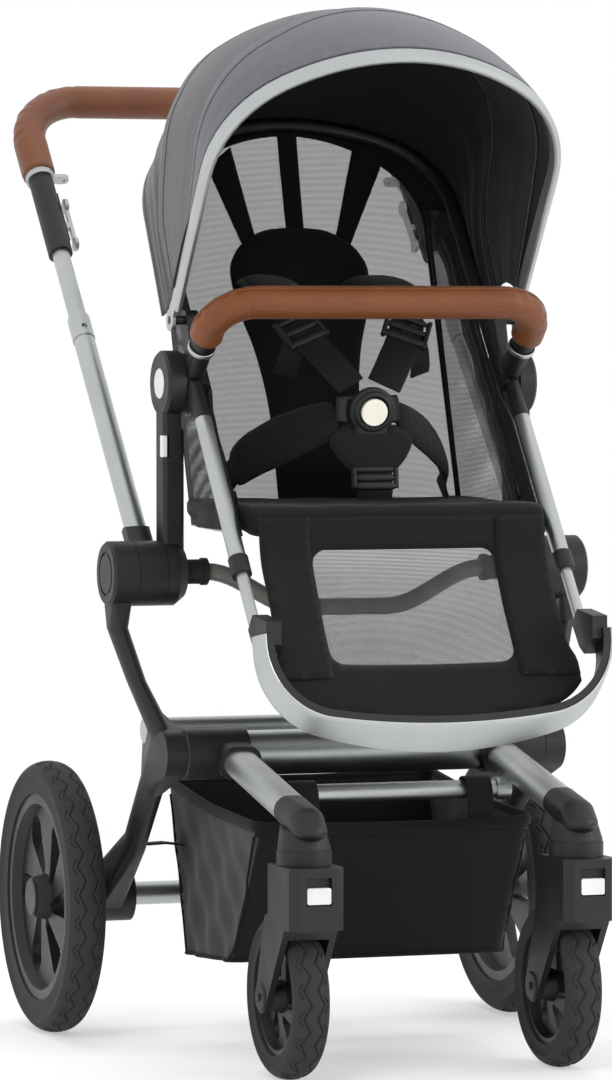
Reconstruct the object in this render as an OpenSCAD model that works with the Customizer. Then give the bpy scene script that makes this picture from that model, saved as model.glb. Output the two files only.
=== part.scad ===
// Four-wheeled baby stroller with a folding frame, a reclining seat and a hood.
// Millimetres. +Z is up, -Y is the front, left is -X. The floor is z = 0.
// The origin is on the floor, under the middle of the whole stroller.

/* [Wheels] */
// Diameter of the rear wheels
rear_wheel_d = 305; // [290:1:310]
// Diameter of the front wheels
front_wheel_d = 176; // [166:1:180]
// Width of the rear tyres
rear_tyre_w = 42; // [36:1:42]
// Width of the front tyres
front_tyre_w = 40; // [34:1:40]
// Openings in each rim
rim_openings = 6; // [5:1:7]

/* [Frame] */
// Distance between the middles of the rear wheels
rear_track = 550; // [548:1:556]
// Distance between the middles of the front wheels
front_track = 306; // [304:1:310]
// Diameter of the big hub discs
hub_d = 71; // [66:1:72]
// Diameter of the main cross tube
cross_tube_d = 49; // [40:1:50]
// Lean of the push bar above the horizontal
push_bar_lean = 47; // [46:1:48]
// Diameter of the lower push bar tubes
push_tube_d = 24; // [22:1:24]
// Diameter of the leather grip
grip_d = 38; // [32:1:40]

/* [Seat] */
// Slope of the seat's side tubes above the horizontal
seat_slope = 50.9; // [50.5:0.1:51.3]
// Diameter of the leather bumper bar
bumper_d = 36; // [30:1:38]
// Width of the footrest's band
footrest_band_w = 38; // [30:1:40]

/* [Hood] */
// Full width of the front hoop
hood_w = 407; // [400:1:408]
// Reach of the hoop from its pivot
hood_reach = 352; // [340:1:356]
// Angle of the front hoop above the horizontal
hoop_angle = 54; // [52:1:56]

/* [Hidden] */
$fn = 64;
clear = 0.3;                 // gap between neighbours that move past each other
running = 0.05;              // radial clearance of a pin in its bore

// Named places in the YZ plane, as [y, z]
rear_axle = [129, rear_wheel_d / 2];
hub = [-82, 524.5];
carry_axis = [-82, 525.5];
elbow = [-136, 330];
link_tube = [-71, 352];
seat_hinge = [-82, 731];
hood_pivot = [-84, 800];
swivel_y = -379;
front_axle = [-333, front_wheel_d / 2];
tube_seam = [-341, 286];     // where the front tube ends and its cap starts
bumper_foot = [-140, 769];

// Places along X: the seat hangs inside the hood, and the hubs are stacked outside the seat
rear_x = rear_track / 2;
caster_x = front_track / 2;
hood_half = hood_w / 2;
seat_x = hood_half - 19;
bracket_x = [seat_x - 8, seat_x + 9.2];
post_x = [seat_x + 5.5, seat_x + 30];
post_mid = (post_x[0] + post_x[1]) / 2;
push_ring = [post_x[1] + 0.5, post_x[1] + 32];
push_x = push_ring[0] + 13;
leg_ring = [push_ring[1] + 0.5, push_ring[1] + 29.5];
sling_half = seat_x - 22.5;
arch_x = seat_x - 8.5;       // the arch behind the back
bumper_x = seat_x + 1;
hub_r = hub_d / 2;
head_r = 36;
pivot_pin_r = 10;
elbow_pin_r = 9;
wheel_pin_r = 6;
front_pin_r = 4;
front_rim_r = front_wheel_d / 2 - 25;    // the tyres' depths are 25 and 36.5
rear_rim_r = rear_wheel_d / 2 - 36.5;
stem_r = 8;
hood_pin_r = 5;
axle_r = 13;
link_r = 14;
carry_r = 9.5;
cross_r = cross_tube_d / 2;
seam_z = 231.7;              // the swivel joint between head and fork
joint_z = 644;               // where the seat unit leaves the posts

// Push bar, measured along the bar from the hub
push_tube_end = 377;
sleeve = [479, 596];
grip_start = 604;
grip_reach = 726;
grip_bend_r = 70;
push_r = push_tube_d / 2;
thin_r = 10;

// Seat tubes: the line runs down and forward from its top seam
seat_top = [-144, 692];
seat_dir = [-cos(seat_slope), -sin(seat_slope)];
seat_tube_r = 9.3;
foot_tube_r = 6.3;
seat_joint = 195;            // black joint, along the line
foot_collar = 288;           // footrest collar, along the line
arch_top = 424;              // top of the seat's arch, up the line

// Bumper bar
bumper_lean = 50;            // the legs lean forward from upright
bumper_rise = 78;            // along the legs, from the foot to the bar's axis
bumper_bend_r = 45;

// Hood: each inner gore nests in the one before it
hoop_t = 9;
hoop_depth = 20;
gore_t = 2;
gore_step = 2.6;
arch_shoulder = 158;         // height of the rounded part of the arch
arch_corner_r = 140;
gore_angles = [hoop_angle, 80, 108, 142];

// Sling of the seat
back_top = [118, 1014];
crease = [-25, 590];
seat_front = [-256, 588];

// ---------- helpers ----------

// A point on the seat tube's line, s along it
function on_seat(s) = [seat_top[0] + s * seat_dir[0], seat_top[1] + s * seat_dir[1]];

// A point on the push bar's axis, s from the hub
function on_push(s) = [hub[0] + s * cos(push_bar_lean), hub[1] + s * sin(push_bar_lean)];

// Children drawn at +X, mirrored to the left when side is -1
module on_side(side) mirror([side < 0 ? 1 : 0, 0, 0]) children();

// Children at +X and their mirror image
module pair() {
    children();
    mirror([1, 0, 0]) children();
}

// Moves children to a point given in the YZ plane
module at(p, x = 0) translate([x, p[0], p[1]]) children();

// A cylinder along X from x0 to x1 about the point p
module x_rod(p, r, x0, x1, fn = 64) at(p, x0) rotate([0, 90, 0]) cylinder(r = r, h = x1 - x0, $fn = fn);

// A disc along X with a chamfered outer edge
module x_disc(p, r, x0, x1, c = 2) at(p, x0) rotate([0, 90, 0])
    rotate_extrude() polygon([[0, 0], [r, 0], [r, x1 - x0 - c], [r - c, x1 - x0], [0, x1 - x0]]);

// Stands children's +Z along the push bar, with the origin at the hub
module along_push(s = 0) at(on_push(s)) rotate([push_bar_lean - 90, 0, 0]) children();

// Stands children's +Z down the seat line, s along it
module along_seat(s = 0) at(on_seat(s)) rotate([90 + seat_slope, 0, 0]) children();

// Lays children's XY plane on the seat's back, with +Y up the back from the crease
module on_back() at(back_top) rotate([atan2(back_top[1] - crease[1], back_top[0] - crease[0]) - 90, 0, 0])
    rotate([90, 0, 0]) translate([0, -norm(back_top - crease), 0]) children();

// A rounded rectangle with true round corners
module round_rect(w, h, r) {
    square([w - 2 * r, h], center = true);
    square([w, h - 2 * r], center = true);
    for (x = [-1, 1], y = [-1, 1])
        translate([x * (w / 2 - r), y * (h / 2 - r)]) circle(r);
}

// A quarter turn of round rail: the child profile sweeps a degrees about the local Y axis
module bend(r, a) rotate([90, 0, 0]) rotate_extrude(angle = a, $fn = 96) translate([r, 0]) children();

// A flat strap between two points, w wide and t thick, whose face looks along f
module strap(p, q, w, t, f = [0, -1, 0.5]) {
    l = norm(q - p);
    u = (q - p) / l;
    n = (f - (f * u) * u) / norm(f - (f * u) * u);
    x = cross(n, u);
    multmatrix([
        [x[0], n[0], u[0], p[0]],
        [x[1], n[1], u[1], p[1]],
        [x[2], n[2], u[2], p[2]],
        [0, 0, 0, 1]
    ]) translate([-w / 2, -t / 2, 0]) cube([w, t, l]);
}

// ---------- arches ----------

// Radius of the flat top arc that meets corner arcs of radius rc on an arch
// of half width w and height h above the shoulder line
function top_r(w, h, rc) = ((w - rc) * (w - rc) + h * h - rc * rc) / (2 * (h - rc));

// Angle at which the corner arc meets the top arc, from the X axis
function meet(w, h, rc) = atan2(h - top_r(w, h, rc), -(w - rc)) < 0
    ? atan2(top_r(w, h, rc) - h, w - rc) : 90;

// Half of an arch's outline from the foot to the crown: straight, corner arc, top arc
function half_arch(w, h1, h, rc, n = 7) = concat(
    [[w, 0]],
    [for (i = [0 : n]) let (a = i / n * meet(w, h, rc)) [w - rc + rc * cos(a), h1 + rc * sin(a)]],
    [for (i = [1 : n])
        let (m = meet(w, h, rc), a = m + i / n * (90 - m), rt = top_r(w, h, rc))
        [rt * cos(a), h1 + h - rt + rt * sin(a)]]
);

// The whole outline, from the right foot over the crown to the left foot
function arch(w, h1, h, rc, n = 7) = let (p = half_arch(w, h1, h, rc, n)) concat(
    p, [for (i = [len(p) - 2 : -1 : 0]) [-p[i][0], p[i][1]]]
);

// The band between an arch and the same arch set in by t
module arch_band(w, h1, h, rc, t) polygon(concat(
    arch(w, h1, h, rc),
    [for (p = arch(w - t, h1, h - t, rc - t)) [-p[0], p[1]]]
));

// Direction square to a flat path at its point i, stretched at the corner so the width is kept
function miter(path, i) = let (
    n = len(path),
    d0 = i == 0 ? path[1] - path[0] : path[i] - path[i - 1],
    d1 = i == n - 1 ? path[n - 1] - path[n - 2] : path[i + 1] - path[i],
    u = d0 / norm(d0) + d1 / norm(d1),
    t = u / norm(u),
    c = t * (d0 / norm(d0))
) [t[1], -t[0]] / c;

// A rail along a flat path in the XY plane. sec lists the section's points as [outwards, up]
module rail(path, sec) {
    n = len(path);
    k = len(sec);
    pts = [for (i = [0 : n - 1]) let (m = miter(path, i)) each
        [for (q = sec) [path[i][0] + m[0] * q[0], path[i][1] + m[1] * q[0], q[1]]]];
    polyhedron(pts, concat(
        [[for (j = [k - 1 : -1 : 0]) j]],
        [for (i = [0 : n - 2], j = [0 : k - 1]) [
            i * k + j, i * k + (j + 1) % k, (i + 1) * k + (j + 1) % k, (i + 1) * k + j
        ]],
        [[for (j = [0 : k - 1]) (n - 1) * k + j]]
    ), convexity = 6);
}

// Section points: a circle, and a rectangle with round corners
function round_sec(r, n = 16) = [for (i = [0 : n - 1]) r * [cos(360 * i / n), sin(360 * i / n)]];
function soft_sec(w, h, r) = [for (c = [0 : 3], i = [0 : 2]) let (a = c * 90 + i * 45)
    [(w / 2 - r) * (c == 0 || c == 3 ? 1 : -1) + r * cos(a), (h / 2 - r) * (c < 2 ? 1 : -1) + r * sin(a)]];

// ---------- frame ----------

// One slice of the bent leg: an upright oval section at [x, y, z]
module leg_slice(p, w, d, tilt = 0) translate(p) rotate([tilt, 0, 0])
    linear_extrude(0.6) scale([w, d]) circle(d = 1, $fn = 28);

// The bent leg, from its hub disc past the elbow to the axle barrel
module leg(side) color("#23221f") on_side(side) difference() {
    knee = [222, -116, 348];
    union() {
        x_disc(hub, hub_r, leg_ring[0], leg_ring[1], 3);
        hull() {
            x_rod([hub[0], hub[1] - 12], 20, leg_ring[0] + 3, leg_ring[1] - 3, 32);
            leg_slice([leg_ring[0] + 14, -77, 465], 22, 33);
        }
        hull() {
            leg_slice([leg_ring[0] + 14, -77, 465], 22, 33);
            leg_slice([245, -94, 408], 20, 31);
        }
        hull() {
            leg_slice([245, -94, 408], 20, 31);
            leg_slice(knee, 25, 40);
        }
        hull() {
            leg_slice(knee, 25, 40);
            x_rod(elbow, 26, 208, 231, 32);
            x_rod(link_tube, 19, 208, 224, 32);
            leg_slice([220.8, -76, 296], 25, 42, 47);
        }
        hull() {
            leg_slice([220.8, -76, 296], 25, 42, 47);
            leg_slice([214, 10, 222], 24, 38, 47);
        }
        hull() {
            leg_slice([214, 10, 222], 24, 38, 47);
            x_rod(rear_axle, 26, 200, 226, 32);
        }
        x_disc(rear_axle, 30, 184, 240, 3);
        at(rear_axle, 205) rotate([0, -90, 0]) cylinder(r1 = 30, r2 = 27, h = 21);
    }
    x_rod(hub, pivot_pin_r, leg_ring[0] - 1, leg_ring[0] + 17);
    x_rod(elbow, elbow_pin_r, 207, 226);
    x_rod(link_tube, link_r, 206, 230);
    x_rod(rear_axle, axle_r, 183, 241);
    at(hub, leg_ring[1] - 1.4) rotate([0, 90, 0]) difference() {
        cylinder(r = 24, h = 3);
        cylinder(r = 21, h = 3);
    }
}

module rear_cross_tube() color("#a9b0b3") difference() {
    x_rod(link_tube, link_r, -229, 229);
    x_rod(link_tube, link_r - 2, -227, 227);
}

// The axle tube with a steel stub for each wheel
module rear_axle() color("#a9b0b3") {
    x_rod(rear_axle, axle_r, -244, 244);
    x_rod(rear_axle, wheel_pin_r, -rear_x - 15, rear_x + 15);
}

// Steel pins: the fold turns about the upper pair, the front frame about the lower pair
module pivot_pins() color("#8c9092") pair() {
    x_rod(hub, pivot_pin_r, post_x[0] + 6, leg_ring[0] + 17);
    x_rod(elbow, elbow_pin_r, 170, 226);
}

// The inner hub ring and the upright post that takes the seat
module posts() color("#23221f") pair() difference() {
    union() {
        at(hub, post_x[1]) rotate([0, -90, 0]) rotate_extrude()
            polygon([[0, 0], [hub_r, 0], [hub_r, 14], [hub_r - 8, 24.5], [0, 24.5]]);
        translate([post_mid, hub[0], hub[1]]) linear_extrude(joint_z - hub[1]) round_rect(24.5, 30, 5);
    }
    translate([post_mid, hub[0], joint_z - 72]) linear_extrude(80) round_rect(15, 17, 2);
    x_rod(hub, pivot_pin_r, post_x[0] + 6, post_x[1] + 1.5);
    x_rod(carry_axis, carry_r, post_x[0] - 1, post_x[0] + 4);
}

// The carrying bar between the hubs dips in the middle
module carry_bar() color("#6d6c66") {
    dip = 41;
    n = 12;
    knee = post_x[0] - 28;
    half = concat(
        [[post_x[0] + 4, 0], [knee, 0]],
        [for (i = [1 : n]) [knee - 112 * i / n, -dip * (1 - cos(180 * i / n)) / 2]]
    );
    path = concat(half, [for (i = [len(half) - 1 : -1 : 0]) [-half[i][0], half[i][1]]]);
    at(carry_axis) rotate([90, 0, 0]) rail(path, round_sec(carry_r, 20));
}

// Rubber sockets that hold the carrying bar's ends
module carry_bar_ends() color("#1b1a18") pair() difference() {
    union() {
        x_rod(carry_axis, 13.5, post_x[0] - 26, post_x[0] - 0.1);
        x_rod(carry_axis, 15, post_x[0] - 29, post_x[0] - 23);
    }
    x_rod(carry_axis, carry_r, post_x[0] - 30, post_x[0] + 1);
}

// Half width of the basket, and how far out its tabs reach, to the legs' inner faces
basket_half = 162;
leg_tab = 201.8;

// Storage basket: a sling open at the top, with loops to the cross bar and tabs to the legs
module basket() color("#46454a") {
    outline = [[-243, 258], [68, 285], [8, 98], [-165, 107]];
    inside = [[-237.5, 262], [62, 291], [4.5, 102], [-162, 111]];
    difference() {
        translate([basket_half, 0, 0]) rotate([90, 0, -90]) linear_extrude(2 * basket_half)
            polygon([for (p = outline) [-p[0], p[1]]]);
        translate([basket_half - 4, 0, 0]) rotate([90, 0, -90]) linear_extrude(2 * basket_half - 8)
            polygon([for (p = inside) [-p[0], p[1]]]);
    }
    pair() {
        translate([85, -240, 256]) cube([30, 3, 45]);
        translate([85, -240, 301]) cube([30, 36, 3]);
        translate([basket_half - 2, 2, 218]) cube([leg_tab - basket_half + 2, 20, 3]);
    }
}

// Brake pedal that turns on the axle tube
module brake_pedal() color("#1b1a18") difference() {
    union() {
        x_rod(rear_axle, 19, -38, 38);
        translate([-38, rear_axle[0], rear_axle[1] + 4]) cube([76, 48, 9]);
        translate([0, rear_axle[0] + 46, rear_axle[1] + 8.5]) rotate([0, 90, 0])
            translate([0, 0, -38]) cylinder(r = 8, h = 76);
        x_rod([rear_axle[0], rear_axle[1] - 20], 7, -30, -18);
        x_rod([rear_axle[0], rear_axle[1] - 20], 7, 18, 30);
    }
    x_rod(rear_axle, axle_r + running, -40, 40);
}

// ---------- front frame ----------

module main_cross_tube() color("#a9b0b3") difference() {
    x_rod(elbow, cross_r, -152, 152);
    x_rod(elbow, cross_r - 2.5, -153, 153);
}

// Slope of the front tubes, from the elbow to the seam
front_slope = atan2(elbow[1] - tube_seam[1], elbow[0] - tube_seam[0]);
front_len = norm(elbow - tube_seam);

// Stands children's +Z along the front tube, s from the elbow, with local X kept
module along_front(s) at([elbow[0] - s * cos(front_slope), elbow[1] - s * sin(front_slope)], caster_x - 1)
    rotate([90 + front_slope, 0, 0]) children();

// Housings that carry the cross tube and clamp the front tubes
module elbow_housings() color("#23221f") pair() difference() {
    union() {
        x_disc(elbow, 28, 136, 207.6, 2);
        along_front(0) linear_extrude(40) round_rect(46, 38, 15);
    }
    x_rod(elbow, cross_r, 120, 152);
    x_rod(elbow, elbow_pin_r + running, 151, 209);
    along_front(30) linear_extrude(20) round_rect(38, 30, 14.9);
}

// Flattened tubes from the elbow to the casters
module front_tubes() color("#b4b9ba") pair() difference() {
    along_front(30) linear_extrude(front_len - 30) round_rect(38, 30, 14.9);
    along_front(31) linear_extrude(front_len) round_rect(34, 26, 12.9);
}

// The bar's ends are coped to the front tubes' round sides
module front_cross_bar() color("#b4b9ba") difference() {
    bar = [-219, 291];
    union() {
        x_rod(bar, 10, -138, 138);
        pair() x_rod(bar, 12.5, 124, 140);
    }
    pair() along_front(30) linear_extrude(front_len - 30) round_rect(38, 30, 14.9);
}

// Rounded caps on the front tubes, each with the head that holds a caster
module caster_heads() color("#23221f") pair() difference() {
    union() {
        hull() {
            along_front(front_len + 0.2) linear_extrude(1) round_rect(39, 31, 15);
            translate([caster_x - 1, -386, 279]) scale([19.5, 20, 14]) sphere(1, $fn = 32);
            translate([caster_x - 1, -399, 268]) scale([19, 19, 12]) sphere(1, $fn = 32);
        }
        hull() {
            translate([caster_x, swivel_y - 6, 246]) cylinder(r = 28, h = 4, $fn = 32);
            translate([caster_x, swivel_y - 2, 262]) cylinder(r = 24, h = 6, $fn = 32);
            translate([caster_x, swivel_y + 22, 262]) cylinder(r = 16, h = 10, $fn = 32);
        }
        translate([caster_x, swivel_y - 6, seam_z + clear]) cylinder(r = 29, h = 15);
        along_front(front_len - 22) linear_extrude(24) round_rect(33.9, 25.9, 12.8);
    }
    translate([caster_x, swivel_y, seam_z - 1]) cylinder(r = stem_r + running, h = 34);
}

// ---------- casters ----------

// Outline of a fork arm seen from the side, as [y, z]
module fork_arm() {
    hull() {
        translate(front_axle) circle(17, $fn = 48);
        translate([-352, 168]) circle(10, $fn = 32);
        translate([-400, 172]) circle(10, $fn = 32);
    }
    translate([-433, 166]) square([78, seam_z - 166]);
}

// Fork with its crown, two arms, axle bolt and swivel stem
module fork(side) color("#23221f") on_side(side) {
    difference() {
        union() {
            difference() {
                translate([caster_x - 30, 0, 0]) rotate([90, 0, 90]) linear_extrude(60) fork_arm();
                x_rod(front_axle, front_wheel_d / 2 + 6, caster_x - 23, caster_x + 23);
                translate([caster_x - 23, -460, 60]) cube([46, 140, 92]);
                for (x = [-1, 1]) translate([caster_x + x * 34.5, swivel_y - 54, 150])
                    rotate([0, 0, x * 45]) translate([-10, -10, 0]) cube([20, 20, 90]);
            }
            x_disc(front_axle, 15.5, caster_x + 26, caster_x + 32, 1.5);
            translate([2 * caster_x, 0, 0]) mirror([1, 0, 0])
                x_disc(front_axle, 15.5, caster_x + 26, caster_x + 32, 1.5);
        }
        translate([caster_x - 14, -434, 193]) cube([28, 7, 29]);
    }
    x_rod(front_axle, front_pin_r, caster_x - 34, caster_x + 34);
    translate([caster_x, swivel_y, seam_z - 4]) cylinder(r = stem_r, h = 34);
}

// Sliding lock in the fork's front face
module swivel_lock(side) color("#cfcfcd") on_side(side)
    translate([caster_x, -427.3, 203]) rotate([90, 0, 0]) linear_extrude(6.2) round_rect(26, 17, 2);

// ---------- wheels ----------

// One teardrop opening that leans like a turbine blade, as a flat shape
module teardrop(r_in, r_out, r_small, r_big) {
    lean = 16;
    p = [r_in * cos(lean), r_in * sin(lean)];
    q = [r_out, 0];
    d = q - p;
    a = atan2(d[1], d[0]);
    b = acos((r_small - r_big) / norm(d));
    translate(p) circle(r_small);
    translate(q) circle(r_big);
    k = 0.98;
    polygon([
        p + k * r_small * [cos(a + b), sin(a + b)], p + k * r_small * [cos(a - b), sin(a - b)],
        q + k * r_big * [cos(a - b), sin(a - b)], q + k * r_big * [cos(a + b), sin(a + b)]
    ]);
}

// Rim of outer radius r with a dished web, turned about local Z
module rim(r, w, hub_r, hub_w, bore_r, big) difference() {
    rotate_extrude($fn = 96) polygon([
        [0, -hub_w / 2], [hub_r, -hub_w / 2], [hub_r + 4, -7], [r * 0.86, -5], [r * 0.9, -w / 2], [r, -w / 2],
        [r, w / 2], [r * 0.9, w / 2], [r * 0.86, 5], [hub_r + 4, 7], [hub_r, hub_w / 2], [0, hub_w / 2]
    ]);
    for (i = [0 : rim_openings - 1]) rotate([0, 0, (i + 0.5) * 360 / rim_openings]) translate([0, 0, -20])
        linear_extrude(40) teardrop(hub_r + 11, r * 0.845 - big, big * 0.4, big);
    translate([0, 0, -hub_w]) cylinder(r = bore_r, h = 2 * hub_w);
}

// Tyre from the rim's radius to the tread, with two grooves round it
module tyre(r_in, r_out, w) rotate_extrude($fn = 128) difference() {
    union() {
        translate([r_in, -w / 2 + 3]) square([r_out - r_in - w * 0.32, w - 6]);
        translate([r_out - w * 0.32, 0]) intersection() {
            scale([0.64, 1]) circle(d = w, $fn = 64);
            translate([-w, -w / 2]) square([2 * w, w]);
        }
    }
    translate([0, -w]) square([r_in, 2 * w]);
    for (s = [-1, 1]) translate([r_out - 1.2, s * w * 0.12 - 1]) square([4, 2]);
}

// Lays a wheel drawn about Z on its axle, with its outer face outwards
module on_axle(p, x) at(p, x) rotate([0, 90, 0]) children();

module front_rim(side) color("#1f1e1c") on_side(side) on_axle(front_axle, caster_x)
    rim(front_rim_r, 28, 14, 44, front_pin_r + running, 11);
module front_tyre(side) color("#2c2a28") on_side(side) on_axle(front_axle, caster_x)
    tyre(front_rim_r, front_wheel_d / 2, front_tyre_w);

module rear_rim(side) color("#1f1e1c") on_side(side) on_axle(rear_axle, rear_x)
    rim(rear_rim_r, 32, 22, 44, wheel_pin_r + running, 19);
module rear_tyre(side) color("#2c2a28") on_side(side) on_axle(rear_axle, rear_x)
    tyre(rear_rim_r, rear_wheel_d / 2, rear_tyre_w);

// Cap over the wheel's hub
module rear_cap(side) color("#1b1a18") on_side(side) x_disc(rear_axle, 21, rear_x + 22, rear_x + 25, 1.5);

// ---------- push bar ----------

// Turning hub ring with the socket for the push tube
module push_rings() color("#23221f") pair() difference() {
    union() {
        x_rod(hub, hub_r, push_ring[0], push_ring[1]);
        intersection() {
            translate([push_x, 0, 0]) along_push(20) cylinder(r = 15.5, h = 46);
            translate([push_ring[0], -200, 400]) cube([27, 400, 400]);
        }
    }
    x_rod(hub, pivot_pin_r + running, push_ring[0] - 1, push_ring[1] + 1.5);
    translate([push_x, 0, 0]) along_push(34) cylinder(r = push_r, h = 60);
    translate([push_ring[0] - 25, 0, 0]) along_push(66) rotate([35, 0, 0])
        translate([0, -40, 0]) cube([80, 80, 30]);
}

// Lower push tubes with the collar that the upper tubes slide in
module push_tubes() color("#a9b0b3") pair() translate([push_x, 0, 0]) difference() {
    union() {
        along_push(34) cylinder(r = push_r, h = push_tube_end - 34);
        along_push(push_tube_end - 32) cylinder(r = push_r + 0.9, h = 31);
        along_push(push_tube_end - 1) cylinder(r1 = push_r + 0.9, r2 = push_r - 0.6, h = 5);
    }
    along_push(98) cylinder(r = thin_r + clear, h = 300);
    along_push(push_tube_end - 20) rotate([90, 0, 0]) translate([0, 0, 5]) cylinder(r = 3.4, h = 20);
}

// The upper loop in its own frame: two straights from s0, two bends and the crossing
module push_loop(s0, r) {
    straight = grip_reach - grip_bend_r;
    pair() {
        translate([push_x, 0, s0]) cylinder(r = r, h = straight - s0);
        translate([push_x - grip_bend_r, 0, straight]) bend(grip_bend_r, 90) circle(r);
    }
    translate([0, 0, grip_reach]) rotate([0, 90, 0])
        cylinder(r = r, h = 2 * (push_x - grip_bend_r), center = true);
}

// Upper tubes that slide out for height, joined by the bar inside the grip
module push_slider() color("#b4b9ba") along_push() push_loop(200, thin_r);

// Black sleeves with a pocket on the inner side for the latch
module push_sleeves() color("#1b1a18") pair() difference() {
    translate([push_x, 0, 0]) union() {
        along_push(sleeve[0]) cylinder(r = 14, h = sleeve[1] - sleeve[0]);
        along_push(sleeve[0] + 18) translate([-14, -6, 0]) cube([14, 12, 74]);
    }
    translate([push_x, 0, 0]) along_push(sleeve[0] - 1) cylinder(r = thin_r, h = 130);
    translate([push_x, 0, 0]) along_push(sleeve[0] + 24) translate([-15, -4, 0]) cube([9, 8, 60]);
}

// Metal rings under the leather, each with a lug that points inwards
module push_clamps() color("#b9bec0") pair() translate([push_x, 0, 0]) difference() {
    union() {
        along_push(sleeve[1]) cylinder(r = 16.5, h = grip_start - sleeve[1]);
        along_push(sleeve[1] + 1) translate([-28, -6, 0]) cube([20, 12, 5]);
        along_push(sleeve[1] + 1) translate([-28, 0, 0]) cylinder(r = 6, h = 5);
    }
    along_push(sleeve[1] - 1) cylinder(r = thin_r, h = 20);
    along_push(sleeve[1] - 1) translate([-28, 0, 0]) cylinder(r = 2, h = 20);
}

// Leather grip on the upper bar
module push_grip() color("#7a4a2c") along_push() difference() {
    push_loop(grip_start, grip_d / 2);
    push_loop(grip_start - 1, thin_r);
}

// Where the latch turns, along the push bar
latch_s = sleeve[0] + 44;
latch_x = push_x - 15.5;

// Silver lever with a round thumb pad, hinged in the sleeve's pocket
module latch(side) color("#b9bec0") on_side(side) {
    along_push(latch_s) translate([latch_x, 0, 0]) {
        translate([-7.5, -3.4, -28]) cube([4, 6.8, 60]);
        translate([-7.5, 0, -28]) rotate([0, 90, 0]) cylinder(r = 8, h = 4);
        translate([-7.5, 0, 32]) rotate([0, 90, 0]) cylinder(r = 9, h = 4);
        translate([-4, -3.4, -4]) cube([8, 6.8, 8]);
        translate([3, 0, 0]) rotate([90, 0, 0]) cylinder(r = 2, h = 7.6, center = true);
    }
}

// ---------- seat mount ----------

// Upper posts with the big hinge heads; each peg drops into its post
module adapters() color("#23221f") pair() difference() {
    union() {
        translate([post_mid, hub[0], joint_z + clear])
            linear_extrude(seat_hinge[1] - joint_z) round_rect(24.5, 30, 5);
        x_disc(seat_hinge, head_r, bracket_x[1] + 0.5, post_x[1], 3);
        translate([post_mid, hub[0], joint_z - 60]) linear_extrude(61) round_rect(14.4, 16.4, 1.8);
        x_rod(seat_hinge, stem_r, seat_x - 6.5, seat_x + 11.5);
    }
    translate([post_x[1] - 6.5, hub[0] - 17, 651]) cube([8, 12, 24]);
    x_rod(seat_hinge, 16.6, post_x[1] - 1.1, post_x[1] + 1.5);
    translate([seat_x - 4.5, -130, seat_hinge[1] - 50]) cube([14.2, 100, 20]);
    difference() {
        translate([seat_x - 4.5, -130, seat_hinge[1] - 36]) cube([14.2, 100, 80]);
        x_rod(seat_hinge, stem_r, seat_x - 7.5, seat_x + 12.5);
    }
}

// Pale discs set in the hinge heads
module hinge_discs() color("#cfcfcd") pair()
    x_disc(seat_hinge, 16.6, post_x[1] - 1.1, post_x[1] + 0.7, 0.8);

// Square buttons that free the seat unit from the posts
module release_button(side) color("#cfcfcd") on_side(side)
    translate([post_x[1] - 3.5, hub[0] - 11, 663]) rotate([90, 0, 90])
        linear_extrude(4.3) round_rect(11.4, 23.4, 1.5);

// ---------- seat ----------

// Silver side tubes
module seat_frame() color("#a9b0b3") pair() difference() {
    translate([seat_x, 0, 0]) along_seat(0) cylinder(r = seat_tube_r, h = seat_joint);
    translate([seat_x, 0, 0]) along_seat(45) cylinder(r = foot_tube_r + clear, h = seat_joint);
}

// Black frame: hinge brackets, tube joints, the arch behind the back and the hood clamps
module seat_brackets() color("#23221f") {
    pair() difference() {
        union() {
            x_rod(seat_hinge, 33, bracket_x[0], bracket_x[1]);
            hull() {
                translate([seat_x, 0, 0]) along_seat(-46) cylinder(r = 9, h = 45.7, $fn = 28);
                x_rod([seat_hinge[0] - 10, seat_hinge[1] + 6], 14, seat_x - 6.5, seat_x + 7.5, 28);
            }
            hull() {
                at([hood_pivot[0] + 4, hood_pivot[1] - 2], seat_x - 12.5) rotate([0, 90, 0])
                    cylinder(r = 13, h = 14, $fn = 28);
                translate([seat_x - 6.5, 0, 0]) along_seat(-74) cylinder(r = 8, h = 20, $fn = 28);
            }
            intersection() {
                at(bumper_foot, bumper_x) rotate([bumper_lean, 0, 0])
                    translate([0, 0, -34]) cylinder(r = 13, h = 32);
                translate([seat_x - 14.5, -200, 700]) cube([23.5, 200, 100]);
            }
            translate([seat_x, 0, 0]) along_seat(seat_joint - 8) cylinder(r = 11, h = 22);
        }
        x_rod(seat_hinge, stem_r + running, seat_x - 8.5, seat_x + 10.5);
        translate([seat_x, 0, 0]) along_seat(0) cylinder(r = seat_tube_r, h = seat_joint);
        translate([seat_x, 0, 0]) along_seat(seat_joint - 1) cylinder(r = foot_tube_r + clear, h = 30);
        at(bumper_foot, bumper_x) rotate([bumper_lean, 0, 0])
            translate([0, 0, -24]) cylinder(r = 6.3, h = 40);
    }
    mid = arch(arch_x, 300, arch_top - 300, 110, 8);
    path = concat([[arch_x, 44]], [for (i = [1 : len(mid) - 2]) mid[i]], [[-arch_x, 44]]);
    along_seat(0) rotate([-90, 0, 0]) rail(path, round_sec(8, 16));
    pair() x_rod(hood_pivot, hood_pin_r, seat_x - 0.5, hood_half);
}

// Mesh back of the sling, an arch of thin material
module seat_back() color("#b4b3b0") on_back() translate([0, 0, -6]) linear_extrude(5)
    polygon(arch(sling_half - 2, 330, norm(back_top - crease) - 330, 95));

// Padded seat base with its front edge
module seat_base() color("#1d1d1f") translate([sling_half + 2.7, 0, 0]) rotate([90, 0, -90])
    linear_extrude(2 * sling_half + 5.4) polygon([for (p = [
        [-262, 584], [-256, 602], [-240, 604], [-36, 604], [-22, 598], [-30, 578], [-200, 574], [-250, 566]
    ]) [-p[0], p[1]]]);

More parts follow.
